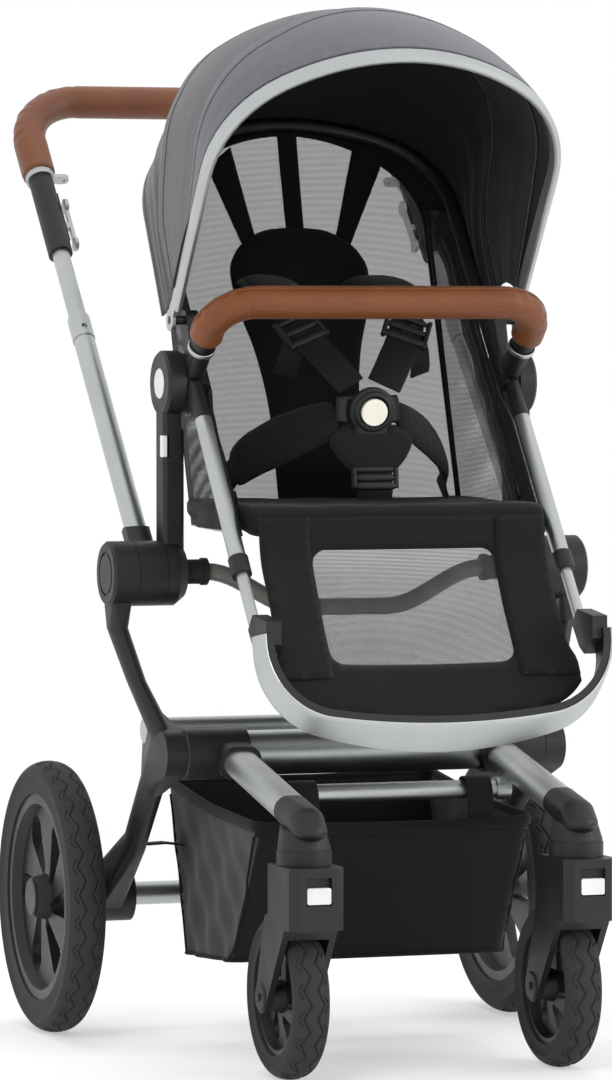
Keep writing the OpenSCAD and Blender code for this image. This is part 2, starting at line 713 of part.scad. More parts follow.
// Side walls of the sling, between the tubes and the back
module seat_sides() color("#2a2a2c") pair() translate([sling_half + 3, 0, 0]) rotate([90, 0, 90])
    linear_extrude(2.5) polygon([[-232, 584], [-36, 591], [88, 926], [44, 922], [-48, 811], [-140, 697]]);

// Soft liner: headrest and back pad
module seat_pad() color("#1a1a1c") on_back() translate([0, 14, 0]) linear_extrude(16)
    polygon(arch(78, 242, 76, 72));

// Harness: shoulder, waist and crotch straps with their pads, open round the buckle
module harness() color("#151516") difference() {
    union() {
        pair() {
            strap([61.6, 38.4, 839.3], [70, -92, 812], 46, 12);
            strap([70, -92, 812], [12, -158, 728], 38, 4);
            strap([118, -70, 640], [34, -150, 694], 46, 12);
            strap([124.6, -37, 606.3], [118, -70, 640], 38, 4);
        }
        strap([0, -178.6, 600], [0, -166, 690], 44, 8);
    }
    translate([0, -166, 702]) rotate([100, 0, 0]) translate([0, 0, -0.3]) cylinder(r = 26.3, h = 13.6);
    translate([-200, -300, 560]) cube([400, 400, 44.05]);
}

module buckle() color("#1b1a18") translate([0, -166, 702]) rotate([100, 0, 0]) difference() {
    cylinder(r = 26, h = 13);
    translate([0, 0, 6]) cylinder(r = 15, h = 8);
}

module buckle_button() color("#d8d6cf") translate([0, -166, 702]) rotate([100, 0, 0]) translate([0, 0, 8.5])
    cylinder(r = 14.6, h = 5.2);

// ---------- hood ----------

// Turns children's XY plane into the hood's plane at an angle above the horizontal
module hood_plane(a) at(hood_pivot) rotate([180 - a, 0, 0]) children();

// Silver front hoop on its two pivots
module hood_hoop() color("#b4b9ba") hood_plane(hoop_angle) {
    mid = arch(hood_half - hoop_t / 2, hood_reach - arch_shoulder, arch_shoulder - hoop_t / 2,
        arch_corner_r - hoop_t / 2, 9);
    rail(concat([[mid[0][0], 18]], [for (i = [1 : len(mid) - 2]) mid[i]], [[-mid[0][0], 18]]),
        soft_sec(hoop_t, hoop_depth, 3.5));
    pair() difference() {
        translate([hood_half - 3.5, 0, 0]) rotate([0, 90, 0]) union() {
            cylinder(r = 12, h = 3.5);
            translate([-8, 0, 0]) cube([16, 20, 3.5]);
        }
        translate([hood_half - 10, 0, 0]) rotate([0, 90, 0]) cylinder(r = hood_pin_r + running, h = 20);
    }
}

// A gore of the hood: an arch of thin material swept between two angles about the pivot,
// set in by inset from the hoop's outer face
module gore(a0, a1, inset) at(hood_pivot) rotate([0, 90, 0])
    rotate_extrude(angle = a1 - a0, start = 270 - a1, $fn = 128) difference() {
        rotate(-90) arch_band(hood_half - inset, hood_reach - arch_shoulder, arch_shoulder - inset,
            arch_corner_r - inset, gore_t);
        translate([-1, -hood_w]) square([26, 2 * hood_w]);
    }

module hood_front() color("#5b5b62") difference() {
    gore(gore_angles[0], gore_angles[1], 0);
    hood_plane(hoop_angle) translate([-hood_w, -20, -hoop_depth / 2]) cube([2 * hood_w, 500, 60]);
}

// The middle gore turns on its own bow's eyes
module hood_middle() color("#66666d") {
    inset = hoop_t + 0.6;
    gore(gore_angles[1], gore_angles[2], inset);
    pair() difference() {
        x_rod(hood_pivot, 27, hood_half - inset - gore_t, hood_half - inset);
        x_rod(hood_pivot, hood_pin_r + running, hood_half - 20, hood_half);
    }
}

// The rear part: from under the middle gore to the seat's arch, behind which its edge wraps
rear_inset = hoop_t + 0.6 + gore_step;
rear_start = 100;            // angle of its front edge
rear_swell = 12;             // how far its top stands off the straight line
rear_steps = 5;
foot_reach = 46;             // lowest reach of the front edge from the pivot
tip = 172.7;                 // lowest point of the rear edge, up the seat's line

// How far the rear edge lies behind the arch's plane, at a height up the seat's line
function behind(s) = lookup(s, [[tip, 34], [231, 24.6], [330, 12], [440, 13.5]]);

// A point behind the arch, from [x, up the line] and the distance behind
function at_arch(q, b) = [
    q[0],
    seat_top[0] - q[1] * seat_dir[0] + b * sin(seat_slope),
    seat_top[1] - q[1] * seat_dir[1] - b * cos(seat_slope)
];

// Cross curves: a goes from 0 at the front edge to 1 at the rear edge, t is the depth below the outer face
function rear_curve(a, t) = let (
    f = arch(hood_half - rear_inset - t, hood_reach - arch_shoulder, arch_shoulder - rear_inset - t,
        arch_corner_r - rear_inset - t),
    g = arch(arch_x + 14 - t, 300, 136 - t, 122 - t)
) [for (i = [0 : len(f) - 1]) let (
    r = max(f[i][1], foot_reach),
    h = max(g[i][1], tip),
    p = [f[i][0], hood_pivot[0] - r * cos(rear_start), hood_pivot[1] + r * sin(rear_start)],
    q = at_arch([g[i][0], h], behind(h) - t),
    up = min(1, max(0, (p[2] - 930) / 160))
) p + a * (q - p) + rear_swell * sin(180 * a) * up * [0, 0.5, 0.85]];

// The turned-in edge that lies on the arch's back, at distance b behind the arch's plane
function rear_hem(b) = [for (q = arch(arch_x - 0.5, 300, 123.5, 109.5)) at_arch([q[0], max(q[1], tip)], b)];

module hood_rear() color("#66666d") {
    outer = concat([for (k = [0 : rear_steps]) rear_curve(k / rear_steps, 0)], [rear_hem(10)]);
    inner = concat([for (k = [0 : rear_steps]) rear_curve(k / rear_steps, gore_t)], [rear_hem(8.05)]);
    rows = len(outer);
    n = len(outer[0]);
    half = rows * n;
    polyhedron(concat([for (r = outer) each r], [for (r = inner) each r]), concat(
        [for (j = [0 : rows - 2], i = [0 : n - 2]) let (c = j * n + i) each [
            [c, c + n + 1, c + n], [c, c + 1, c + n + 1],
            [half + c, half + c + n, half + c + n + 1], [half + c, half + c + n + 1, half + c + 1]
        ]],
        [for (i = [0 : n - 2]) [i, half + i, half + i + 1, i + 1]],
        [for (i = [0 : n - 2]) let (c = (rows - 1) * n + i) [c, c + 1, half + c + 1, half + c]],
        [for (j = [0 : rows - 2]) let (c = j * n) [c, c + n, half + c + n, half + c]],
        [for (j = [0 : rows - 2]) let (c = j * n + n - 1) [c, half + c, half + c + n, c + n]]
    ), convexity = 8);
}

// ---------- bumper bar ----------

// Leather bar across the front
module bumper_grip() color("#8a4d22") at(bumper_foot) rotate([bumper_lean, 0, 0]) difference() {
    union() {
        pair() {
            translate([bumper_x, 0, 20]) cylinder(d = bumper_d, h = bumper_rise - bumper_bend_r - 20);
            translate([bumper_x - bumper_bend_r, 0, bumper_rise - bumper_bend_r])
                bend(bumper_bend_r, 90) circle(d = bumper_d);
        }
        translate([0, 0, bumper_rise]) rotate([0, 90, 0])
            cylinder(d = bumper_d, h = 2 * (bumper_x - bumper_bend_r), center = true);
    }
    pair() translate([bumper_x, 0, 19]) cylinder(r = 8, h = 15);
}

// Black ends with silver rings that plug into the seat
module bumper_legs() color("#23221f") at(bumper_foot) rotate([bumper_lean, 0, 0]) pair()
    translate([bumper_x, 0, 0]) {
        translate([0, 0, -1.6]) cylinder(r = 14.5, h = 7);
        translate([0, 0, 5.4]) cylinder(r = 13, h = 14.4);
        translate([0, 0, 19]) cylinder(r = 8, h = 15);
        translate([0, 0, -22]) cylinder(r = 6, h = 22);
    }

// ---------- footrest ----------

module footrest_tubes() color("#b4b9ba") pair() translate([seat_x, 0, 0])
    along_seat(62) cylinder(r = foot_tube_r, h = foot_collar - 62 + 16);

// Lower and upper edge curves of the band: x across, s down its own slope
foot_low = [seat_x + 14.1, 23, 106, 90];
foot_high = [seat_x + 11.5, 8, 92, 84];
foot_n = 10;

// Points of an edge curve in space: p = [w, h1, h, rc], start [y, z], slope below the horizontal.
// inset moves the curve square to itself, so curves at two depths stay parallel
function foot_curve(p, start, slope, inset = 0) = let (a = arch(p[0], p[1], p[2], p[3], foot_n)) [
    for (i = [0 : len(a) - 1]) let (q = a[i] - inset * miter(a, i))
        [q[0], start[0] - q[1] * cos(slope), start[1] - q[1] * sin(slope)]
];
panel_slope = 56.5;
foot_low_start = [-346, 468];
foot_high_start = [-383, 474];

// A closed band between two edge curves, from depth a to depth b inside the outer face,
// with its long edges drawn in by m
module foot_band(a, b, m) {
    lo = foot_curve(foot_low, foot_low_start, 73, a);
    hi = foot_curve(foot_high, foot_high_start, 80, a);
    lo2 = foot_curve(foot_low, foot_low_start, 73, b);
    hi2 = foot_curve(foot_high, foot_high_start, 80, b);
    n = len(lo);
    t = m / footrest_band_w;
    pts = [for (i = [0 : n - 1]) each [
        lo2[i] + t * (hi2[i] - lo2[i]), hi2[i] - t * (hi2[i] - lo2[i]),
        hi[i] - t * (hi[i] - lo[i]), lo[i] + t * (hi[i] - lo[i])
    ]];
    polyhedron(pts, concat(
        [[3, 2, 1, 0]],
        [for (i = [0 : n - 2], k = [1, 3]) let (c = 4 * i, j = (k + 1) % 4)
            [c + k, c + j, c + 4 + j, c + 4 + k]],
        [for (i = [0 : n - 2]) let (c = 4 * i) each [
            [c, c + 1, c + 5], [c, c + 5, c + 4], [c + 3, c + 6, c + 2], [c + 3, c + 7, c + 6]
        ]],
        [[4 * n - 4, 4 * n - 3, 4 * n - 2, 4 * n - 1]]
    ), convexity = 6);
}

module footrest_bar() color("#b4b9ba") foot_band(0, 3.5, 0);

// Black liner inside the band, with the collars that hold the tubes
module footrest_liner() color("#1b1a18") difference() {
    union() {
        foot_band(3.6, 11, 1.5);
        pair() translate([seat_x - 9.5, 0, 0]) rotate([90, 0, 90]) linear_extrude(16.8)
            polygon([[-317, 474], [-331, 491], [-376, 486], [-377, 462], [-352, 444], [-338, 451]]);
    }
    pair() translate([seat_x, 0, 0]) along_seat(foot_collar - 20) cylinder(r = foot_tube_r, h = 37);
}

// Fabric panel from the seat's front edge down into the band, which it meets from behind
module footrest_panel() color("#1d1d1f") difference() {
    translate([0, -257, 565]) rotate([90 + panel_slope, 0, 0])
        rotate([90, 0, 0]) linear_extrude(5) polygon(arch(sling_half, 150, 100, 78));
    foot_band(-25, 11.2, -4);
}

// ---------- draw ----------

leg(-1);  // leg_left
leg(1);  // leg_right
rear_cross_tube();
rear_axle();
pivot_pins();
posts();
carry_bar();
carry_bar_ends();
basket();
brake_pedal();
main_cross_tube();
elbow_housings();
front_tubes();
front_cross_bar();
caster_heads();
fork(-1);  // fork_left
fork(1);  // fork_right
swivel_lock(-1);  // swivel_lock_left
swivel_lock(1);  // swivel_lock_right
front_rim(-1);  // front_rim_left
front_rim(1);  // front_rim_right
front_tyre(-1);  // front_tyre_left
front_tyre(1);  // front_tyre_right
rear_rim(-1);  // rear_rim_left
rear_rim(1);  // rear_rim_right
rear_tyre(-1);  // rear_tyre_left
rear_tyre(1);  // rear_tyre_right
rear_cap(-1);  // rear_cap_left
rear_cap(1);  // rear_cap_right
push_rings();
push_tubes();
push_slider();
push_sleeves();
push_clamps();
push_grip();
latch(-1);  // latch_left
latch(1);  // latch_right
adapters();
hinge_discs();
release_button(-1);  // release_button_left
release_button(1);  // release_button_right
seat_frame();
seat_brackets();
seat_back();
seat_base();
seat_sides();
seat_pad();
harness();
buckle();
buckle_button();
hood_hoop();
hood_front();
hood_middle();
hood_rear();
bumper_grip();
bumper_legs();
footrest_tubes();
footrest_bar();
footrest_liner();
footrest_panel();
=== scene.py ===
"""Looks for a folding baby stroller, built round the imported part. Metres, +Z up, -Y is the front."""

import math

import bpy
import numpy as np
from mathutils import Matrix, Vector
from mathutils.geometry import delaunay_2d_cdt


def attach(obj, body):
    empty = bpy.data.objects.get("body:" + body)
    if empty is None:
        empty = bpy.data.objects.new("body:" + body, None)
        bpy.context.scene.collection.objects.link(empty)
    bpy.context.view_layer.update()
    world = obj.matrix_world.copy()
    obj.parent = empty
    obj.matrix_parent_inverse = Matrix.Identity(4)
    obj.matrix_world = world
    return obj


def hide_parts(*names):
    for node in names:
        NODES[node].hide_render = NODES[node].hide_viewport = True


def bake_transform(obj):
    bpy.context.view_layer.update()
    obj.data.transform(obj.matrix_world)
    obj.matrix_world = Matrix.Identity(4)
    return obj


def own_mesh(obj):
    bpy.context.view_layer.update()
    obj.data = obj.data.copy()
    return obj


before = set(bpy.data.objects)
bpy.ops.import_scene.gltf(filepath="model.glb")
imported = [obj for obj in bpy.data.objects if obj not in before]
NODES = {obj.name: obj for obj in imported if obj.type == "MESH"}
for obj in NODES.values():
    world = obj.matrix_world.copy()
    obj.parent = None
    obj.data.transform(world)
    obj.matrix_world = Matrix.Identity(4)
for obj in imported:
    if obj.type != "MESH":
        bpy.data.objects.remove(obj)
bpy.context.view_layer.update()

# ---------------------------------------------------------------- numbers of the part, in metres
HUB = np.array([0.0, -0.082, 0.5245])
REAR_AXLE = np.array([0.0, 0.129, 0.1525])
FRONT_AXLE = np.array([0.0, -0.333, 0.088])
HOOD_PIVOT = np.array([0.0, -0.084, 0.800])
PUSH_LEAN = math.radians(47.0)
SEAT_SLOPE = math.radians(50.9)
SEAT_TOP = np.array([0.0, -0.144, 0.692])
SEAT_DIR = np.array([0.0, -math.cos(SEAT_SLOPE), -math.sin(SEAT_SLOPE)])
CREASE = np.array([0.0, -0.025, 0.590])
UP_BACK = np.array([0.0, 0.3196, 0.9475])
OFF_BACK = np.array([0.0, -0.9475, 0.3196])
CASTER_X = 0.153


# ---------------------------------------------------------------- materials
def lin(hex_colour):
    """sRGB #rrggbb as linear RGBA."""
    c = np.array([int(hex_colour[i : i + 2], 16) for i in (1, 3, 5)]) / 255.0
    v = np.where(c <= 0.04045, c / 12.92, ((c + 0.055) / 1.055) ** 2.4)
    return (*[float(x) for x in v], 1.0)


class Tree:
    """A material's node tree with one short call per node."""

    def __init__(self, name):
        self.mat = bpy.data.materials.new(name)
        self.mat.use_nodes = True
        self.tree = self.mat.node_tree
        self.tree.nodes.clear()
        self.out = self.tree.nodes.new("ShaderNodeOutputMaterial")

    def add(self, kind, ins=None, **props):
        """Adds a node, sets its properties, then sets or links its inputs by name or index."""
        node = self.tree.nodes.new("ShaderNode" + kind)
        for key, value in props.items():
            setattr(node, key, value)
        for key, value in (ins or {}).items():
            socket = node.inputs[key]
            if isinstance(value, bpy.types.NodeSocket):
                self.tree.links.new(value, socket)
            else:
                socket.default_value = value
        return node

    def math(self, op, a, b=0.0, c=0.0):
        return self.add("Math", {0: a, 1: b, 2: c}, operation=op).outputs[0]

    def mix(self, fac, a, b, blend="MIX"):
        node = self.add("Mix", {0: fac, 6: a, 7: b}, data_type="RGBA", blend_type=blend)
        return node.outputs[2]

    def ramp(self, fac, lo, hi, a=0.0, b=1.0):
        """fac mapped from lo..hi to a..b, clamped."""
        return self.add("MapRange", {0: fac, 1: lo, 2: hi, 3: a, 4: b}).outputs[0]

    def object_coords(self):
        return self.add("TexCoord").outputs["Object"]

    def uv(self):
        return self.add("UVMap", uv_map="UVMap").outputs[0]

    def noise(self, vec, scale, detail=3.0, rough=0.5):
        ins = {"Vector": vec, "Scale": scale, "Detail": detail, "Roughness": rough}
        return self.add("TexNoise", ins).outputs[0]

    def bump(self, height, strength, distance, normal=None):
        ins = {"Height": height, "Strength": strength, "Distance": distance}
        if normal is not None:
            ins["Normal"] = normal
        return self.add("Bump", ins).outputs[0]

    def surface(self, **ins):
        names = {
            "color": "Base Color", "metallic": "Metallic", "rough": "Roughness", "normal": "Normal",
            "ior": "IOR", "sheen": "Sheen Weight", "sheen_rough": "Sheen Roughness",
            "spec": "Specular IOR Level",
            "coat": "Coat Weight", "coat_rough": "Coat Roughness", "alpha": "Alpha",
        }
        shader = self.add("BsdfPrincipled", {names[k]: v for k, v in ins.items()})
        self.tree.links.new(shader.outputs[0], self.out.inputs[0])
        return shader


def plastic(name, colour, rough=0.48, grain=0.0006, depth=0.00006):
    """Moulded plastic: a fine spark-eroded grain about 0.6 mm across, and faint handling marks."""
    t = Tree(name)
    p = t.object_coords()
    fine = t.noise(p, 1.0 / grain, 2.0, 0.6)
    broad = t.noise(p, 28.0, 4.0, 0.6)
    scuff = t.ramp(t.noise(p, 90.0, 6.0, 0.7), 0.58, 0.74)
    base = t.mix(t.ramp(broad, 0.35, 0.7, 0.0, 0.35), lin(colour), lin(shade(colour, 1.35)))
    base = t.mix(t.math("MULTIPLY", scuff, 0.16), base, lin(shade(colour, 1.9)))
    r = t.math("ADD", t.ramp(broad, 0.3, 0.7, rough - 0.06, rough + 0.07), t.math("MULTIPLY", scuff, 0.08))
    t.surface(color=base, rough=r, normal=t.bump(fine, 0.35, depth), ior=1.49)
    return t.mat


def shade(colour, k):
    """The colour with each channel scaled by k."""
    c = [min(255, int(round(int(colour[i : i + 2], 16) * k))) for i in (1, 3, 5)]
    return "#%02x%02x%02x" % tuple(c)


def anodised(name, colour, rough=0.34):
    """Bead-blasted, anodised aluminium: a 0.25 mm speckle, soft broad sheen and a few fine rubs."""
    t = Tree(name)
    p = t.object_coords()
    speck = t.noise(p, 4000.0, 2.0, 0.5)
    broad = t.noise(p, 14.0, 3.0, 0.5)
    rub = t.ramp(t.noise(p, 160.0, 5.0, 0.65), 0.62, 0.75)
    base = t.mix(t.ramp(broad, 0.35, 0.7, 0.0, 0.25), lin(colour), lin(shade(colour, 0.9)))
    base = t.mix(t.math("MULTIPLY", rub, 0.2), base, lin(shade(colour, 1.12)))
    r = t.ramp(t.math("ADD", t.math("MULTIPLY", speck, 0.4), t.math("MULTIPLY", broad, 0.6)), 0.3, 0.7,
               rough - 0.05, rough + 0.08)
    t.surface(color=base, metallic=1.0, rough=r, normal=t.bump(speck, 0.12, 0.00004))
    return t.mat


def leather(name, colour, dark, holes=False):
    """Grained leather: irregular pebbles about 1.1 mm across whose creases are darkened as painted shade,
    and open pores.
    """
    t = Tree(name)
    p = t.object_coords()
    warp = t.add("VectorMath", {0: p, 1: t.add("VectorMath", {
        0: t.add("TexNoise", {"Vector": p, "Scale": 240.0, "Detail": 2.0}).outputs[1],
        1: (0.0007, 0.0007, 0.0007)},
        operation="MULTIPLY").outputs[0]}, operation="ADD").outputs[0]
    cells = t.add("TexVoronoi", {"Vector": warp, "Scale": 900.0}, feature="DISTANCE_TO_EDGE").outputs[0]
    pebble = t.ramp(cells, 0.0, 0.28)
    broad = t.noise(p, 16.0, 5.0, 0.6)
    fine = t.noise(p, 420.0, 4.0, 0.6)
    base = t.mix(t.ramp(broad, 0.3, 0.72, 0.0, 0.75), lin(colour), lin(shade(colour, 1.22)))
    # Painted shade: the colour darkens to the dark colour towards the pebbles' edges, in the creases.
    base = t.mix(t.math("MULTIPLY", t.math("SUBTRACT", 1.0, pebble), 0.5), base, lin(dark))
    height = t.math("ADD", t.math("MULTIPLY", pebble, 0.8), t.math("MULTIPLY", fine, 0.3))
    if holes:
        uv = t.add("SeparateXYZ", {0: t.uv()}).outputs
        pitch, band, bare_middle = 0.0052, 0.0105, 0.120
        u = t.math("PINGPONG", uv[0], pitch / 2)
        v = t.math("PINGPONG", uv[1], pitch / 2)
        d = t.math("SQRT", t.math("ADD", t.math("MULTIPLY", u, u), t.math("MULTIPLY", v, v)))
        rows = t.math("MULTIPLY", t.math("GREATER_THAN", uv[1], -band), t.math("LESS_THAN", uv[1], band))
        rows = t.math("MULTIPLY", rows, t.math("GREATER_THAN", t.math("ABSOLUTE", uv[0]), bare_middle))
        hole = t.math("MULTIPLY", t.ramp(d, 0.0006, 0.0009, 1.0, 0.0), rows)
        # The perforations are real; their dark colour is painted shade inside the holes.
        base = t.mix(t.math("MULTIPLY", hole, 0.8), base, lin("#1c0d05"))
        height = t.math("SUBTRACT", height, t.math("MULTIPLY", hole, 3.0))
    r = t.ramp(broad, 0.3, 0.7, 0.40, 0.52)
    t.surface(color=base, rough=r, normal=t.bump(height, 0.5, 0.00016), ior=1.46, sheen=0.08,
              sheen_rough=0.4)
    return t.mat


def woven(name, colour, pitch=0.0009, heather=0.3, rough=0.85, sheen=0.25, depth=0.00018):
    """Plain weave on the UV map, which is in metres: warp and weft of one thread per pitch, a heathered
    tone where some threads are paler than others, and painted shade darkening the gaps between threads."""
    t = Tree(name)
    uv = t.uv()
    s = t.add("SeparateXYZ", {0: uv}).outputs
    w = math.pi / pitch
    a = t.math("SINE", t.math("MULTIPLY", s[0], w))
    b = t.math("SINE", t.math("MULTIPLY", s[1], w))
    weave = t.math("ABSOLUTE", t.math("MULTIPLY", a, b))
    long_u = t.add("Mapping", {0: uv, 3: (60.0, 900.0, 1.0)}).outputs[0]
    long_v = t.add("Mapping", {0: uv, 3: (900.0, 60.0, 1.0)}).outputs[0]
    slub = t.math("ADD", t.noise(long_u, 1.0, 2.0, 0.7), t.noise(long_v, 1.0, 2.0, 0.7))
    crumple = t.noise(t.object_coords(), 22.0, 4.0, 0.55)
    tone = t.ramp(slub, 0.8, 1.2, 0.0, 1.0)
    base = t.mix(t.math("MULTIPLY", tone, heather), lin(shade(colour, 0.86)), lin(shade(colour, 1.3)))
    # Painted shade: the colour darkens between the threads, where the weave is low.
    base = t.mix(t.ramp(weave, 0.0, 0.5, 0.35, 0.0), base, lin(shade(colour, 0.55)))
    n = t.bump(crumple, 0.25, 0.004)
    n = t.bump(t.math("ADD", weave, t.math("MULTIPLY", slub, 0.3)), 0.6, depth, n)
    t.surface(color=base, rough=rough, normal=n, sheen=sheen, sheen_rough=0.5, ior=1.45, spec=0.3)
    return t.mat


def net(name, colour, pitch=0.0016, open_share=0.55):
    """Knitted mesh on the UV map in metres: staggered round holes, clear through, in a dark net."""
    t = Tree(name)
    s = t.add("SeparateXYZ", {0: t.uv()}).outputs
    u = t.math("DIVIDE", s[0], pitch)
    v = t.math("DIVIDE", s[1], pitch * 0.866)
    row = t.math("MODULO", t.math("FLOOR", v), 2.0)
    u = t.math("SUBTRACT", t.math("FRACT", t.math("ADD", u, t.math("MULTIPLY", row, 0.5))), 0.5)
    v = t.math("SUBTRACT", t.math("FRACT", v), 0.5)
    d = t.math("SQRT", t.math("ADD", t.math("MULTIPLY", u, u), t.math("MULTIPLY", v, v)))
    radius = math.sqrt(open_share / math.pi)
    hole = t.ramp(d, radius - 0.06, radius + 0.06, 1.0, 0.0)
    fuzz = t.noise(t.object_coords(), 40.0, 3.0, 0.5)
    base = t.mix(t.ramp(fuzz, 0.35, 0.65), lin(colour), lin(shade(colour, 1.25)))
    shader = t.add("BsdfPrincipled",
                   {"Base Color": base, "Roughness": 0.8, "Normal": t.bump(d, 0.5, 0.0003)})
    clear = t.add("BsdfTransparent")
    mixed = t.add("MixShader", {0: hole, 1: shader.outputs[0], 2: clear.outputs[0]})
    t.tree.links.new(mixed.outputs[0], t.out.inputs[0])
    return t.mat


def rubber(name, colour, rough=0.78):
    """Tyre rubber: dusty high spots and a 0.8 mm moulding texture."""
    t = Tree(name)
    p = t.object_coords()
    dust = t.ramp(t.noise(p, 30.0, 6.0, 0.65), 0.4, 0.72)
    fine = t.noise(p, 1250.0, 3.0, 0.6)
    base = t.mix(t.math("MULTIPLY", dust, 0.35), lin(colour), lin(shade(colour, 1.55)))
    t.surface(color=base, rough=t.ramp(dust, 0.0, 1.0, rough - 0.06, rough + 0.1),
              normal=t.bump(fine, 0.4, 0.0001), ior=1.52, spec=0.35)
    return t.mat


def steel(name, colour, rough=0.25):
    """Turned steel with a fine ring pattern and a few dull patches."""
    t = Tree(name)
    p = t.object_coords()
    ring = t.add("TexWave", {"Vector": p, "Scale": 300.0, "Distortion": 1.5, "Detail": 2.0}).outputs[1]
    dull = t.noise(p, 60.0, 4.0, 0.6)
    t.surface(color=t.mix(t.ramp(dull, 0.4, 0.7), lin(colour), lin(shade(colour, 0.85))), metallic=1.0,
              rough=t.ramp(dull, 0.3, 0.7, rough - 0.05, rough + 0.1), normal=t.bump(ring, 0.08, 0.00003))
    return t.mat


M = {
    "black": plastic("black_plastic", "#141312"),
    "black_soft": plastic("black_soft_plastic", "#111010", 0.6),
    "wheel": plastic("wheel_plastic", "#131211", 0.42),
    "pale": plastic("pale_plastic", "#cfcfcd", 0.38, 0.0005, 0.00003),
    "button": plastic("button_plastic", "#ded9cb", 0.3, 0.0005, 0.00002),
    "tube": anodised("anodised_tube", "#bec2c3", 0.36),
    "bright": anodised("anodised_bright", "#c2c5c6", 0.42),
    "grey_paint": plastic("grey_paint", "#5d5c58", 0.35),
    "steel": steel("turned_steel", "#a3a6a8"),
    # Each leather's second colour is the painted shade in its grain's creases.
    "grip": leather("grip_leather", "#663a22", "#3a1d0e"),
    "bar": leather("bar_leather", "#6d3b17", "#4a230c", holes=True),
    "grip_seam": leather("grip_seam_leather", "#60371f", "#3a1d0e"),
    "bar_seam": leather("bar_seam_leather", "#6e3d19", "#4a230c"),
    "thread": plastic("waxed_thread", "#4a2812", 0.7, 0.0004, 0.00002),
    # The hood's three panels are one fabric: the front panel's colour is a touch lighter as painted light,
    # the rear panel's a touch darker as painted shade.
    "hood": woven("hood_fabric", "#535358"),
    "hood_front": woven("hood_front_fabric_painted_light", "#57575e"),
    "hood_rear": woven("hood_rear_fabric_painted_shade", "#505055"),
    "lining": woven("lining_fabric", "#151516", 0.0008, 0.2, sheen=0.1),
    "dark": woven("dark_fabric", "#131314", 0.0011, 0.3, sheen=0.08),
    "webbing": woven("webbing_fabric", "#0e0e0f", 0.0016, 0.2, 0.7, 0.06, 0.0003),
    "basket": woven("basket_fabric", "#3c3b3f", 0.001, 0.25, sheen=0.1),
    "basket_black": woven("basket_black_fabric", "#101011", 0.001, 0.25, sheen=0.06),
    "mesh": net("mesh_fabric", "#363636", 0.0016, 0.41),
    "tyre": rubber("tyre_rubber", "#2a2826"),
    "rubber": rubber("dark_rubber", "#1b1a18", 0.7),
}


# ---------------------------------------------------------------- geometry
def arch_line(w, h1, h, rc, n, inset=0.0, foot=0.0):
    """n points evenly along an arch from its right foot (w, foot) over the crown to the left foot:
    straight to height h1, a corner arc of radius rc, then one flat top arc tangent to both corners
    that crowns at h1 + h."""
    w, h, rc = w - inset, h - inset, rc - inset
    rt = ((w - rc) ** 2 + h * h - rc * rc) / (2 * (h - rc))
    m = math.atan2(rt - h, w - rc)
    a = np.linspace(0, m, 80)
    b = np.linspace(m, math.pi / 2, 80)[1:]
    half = np.vstack([
        [[w, foot]],
        np.c_[w - rc + rc * np.cos(a), h1 + rc * np.sin(a)],
        np.c_[rt * np.cos(b), h1 + h - rt + rt * np.sin(b)],
    ])
    full = np.vstack([half, (half * [-1, 1])[-2::-1]])
    return resample(full, n)


def resample(p, n):
    """n points evenly spaced along a polyline."""
    p = np.asarray(p, float)
    d = np.r_[0.0, np.cumsum(np.linalg.norm(np.diff(p, axis=0), axis=1))]
    t = np.linspace(0, d[-1], n)
    return np.stack([np.interp(t, d, p[:, k]) for k in range(p.shape[1])], 1)


def smooth_path(points, n):
    """A centripetal Catmull-Rom curve through the points, as n evenly spaced points."""
    p = np.asarray(points, float)
    p = np.vstack([2 * p[0] - p[1], p, 2 * p[-1] - p[-2]])
    out = []
    for i in range(1, len(p) - 2):
        t = np.linspace(0, 1, 24, endpoint=False)[:, None]
        a, b, c, d = p[i - 1], p[i], p[i + 1], p[i + 2]
        out.append(0.5 * (2 * b + (c - a) * t + (2 * a - 5 * b + 4 * c - d) * t**2
                          + (3 * b - a - 3 * c + d) * t**3))
    out.append(p[-2][None])
    return resample(np.vstack(out), n)


def round_section(r, n=32):
    a = np.linspace(0, 2 * math.pi, n, endpoint=False)
    return np.c_[r * np.cos(a), r * np.sin(a)]


def soft_section(w, h, r, n=6):
    """A w by h rectangle with corners of radius r, as a closed loop of 4 n points."""
    a = np.linspace(0, math.pi / 2, n)
    out = []
    for k, (sx, sy) in enumerate(((1, 1), (-1, 1), (-1, -1), (1, -1))):
        c = np.array([sx * (w / 2 - r), sy * (h / 2 - r)])
        t = a + k * math.pi / 2
        out.append(c + r * np.c_[np.cos(t), np.sin(t)])
    return np.vstack(out)


def build(name, verts, faces, mat, uvs=None, smooth=True, sharp=None):
    """A mesh object from arrays. faces is a list of arrays with one face size each; uvs gives one
    pair for every face corner in the same order."""
    mesh = bpy.data.meshes.new(name)
    loops = np.concatenate([f.reshape(-1) for f in faces]).astype(np.int32)
    totals = np.concatenate([np.full(len(f), f.shape[1]) for f in faces]).astype(np.int32)
    mesh.vertices.add(len(verts))
    mesh.vertices.foreach_set("co", np.asarray(verts, np.float32).reshape(-1))
    mesh.loops.add(len(loops))
    mesh.loops.foreach_set("vertex_index", loops)
    mesh.polygons.add(len(totals))
    mesh.polygons.foreach_set("loop_start", np.r_[0, np.cumsum(totals)[:-1]].astype(np.int32))
    if uvs is not None:
        mesh.uv_layers.new(name="UVMap").data.foreach_set("uv", np.asarray(uvs, np.float32).reshape(-1))
    mesh.update(calc_edges=True)
    mesh.validate()
    mesh.materials.append(mat)
    mesh.polygons.foreach_set("use_smooth", np.full(len(totals), smooth))
    obj = bpy.data.objects.new(name, mesh)
    bpy.context.scene.collection.objects.link(obj)
    if sharp is not None:
        shade_by_angle(obj, sharp)
    return obj


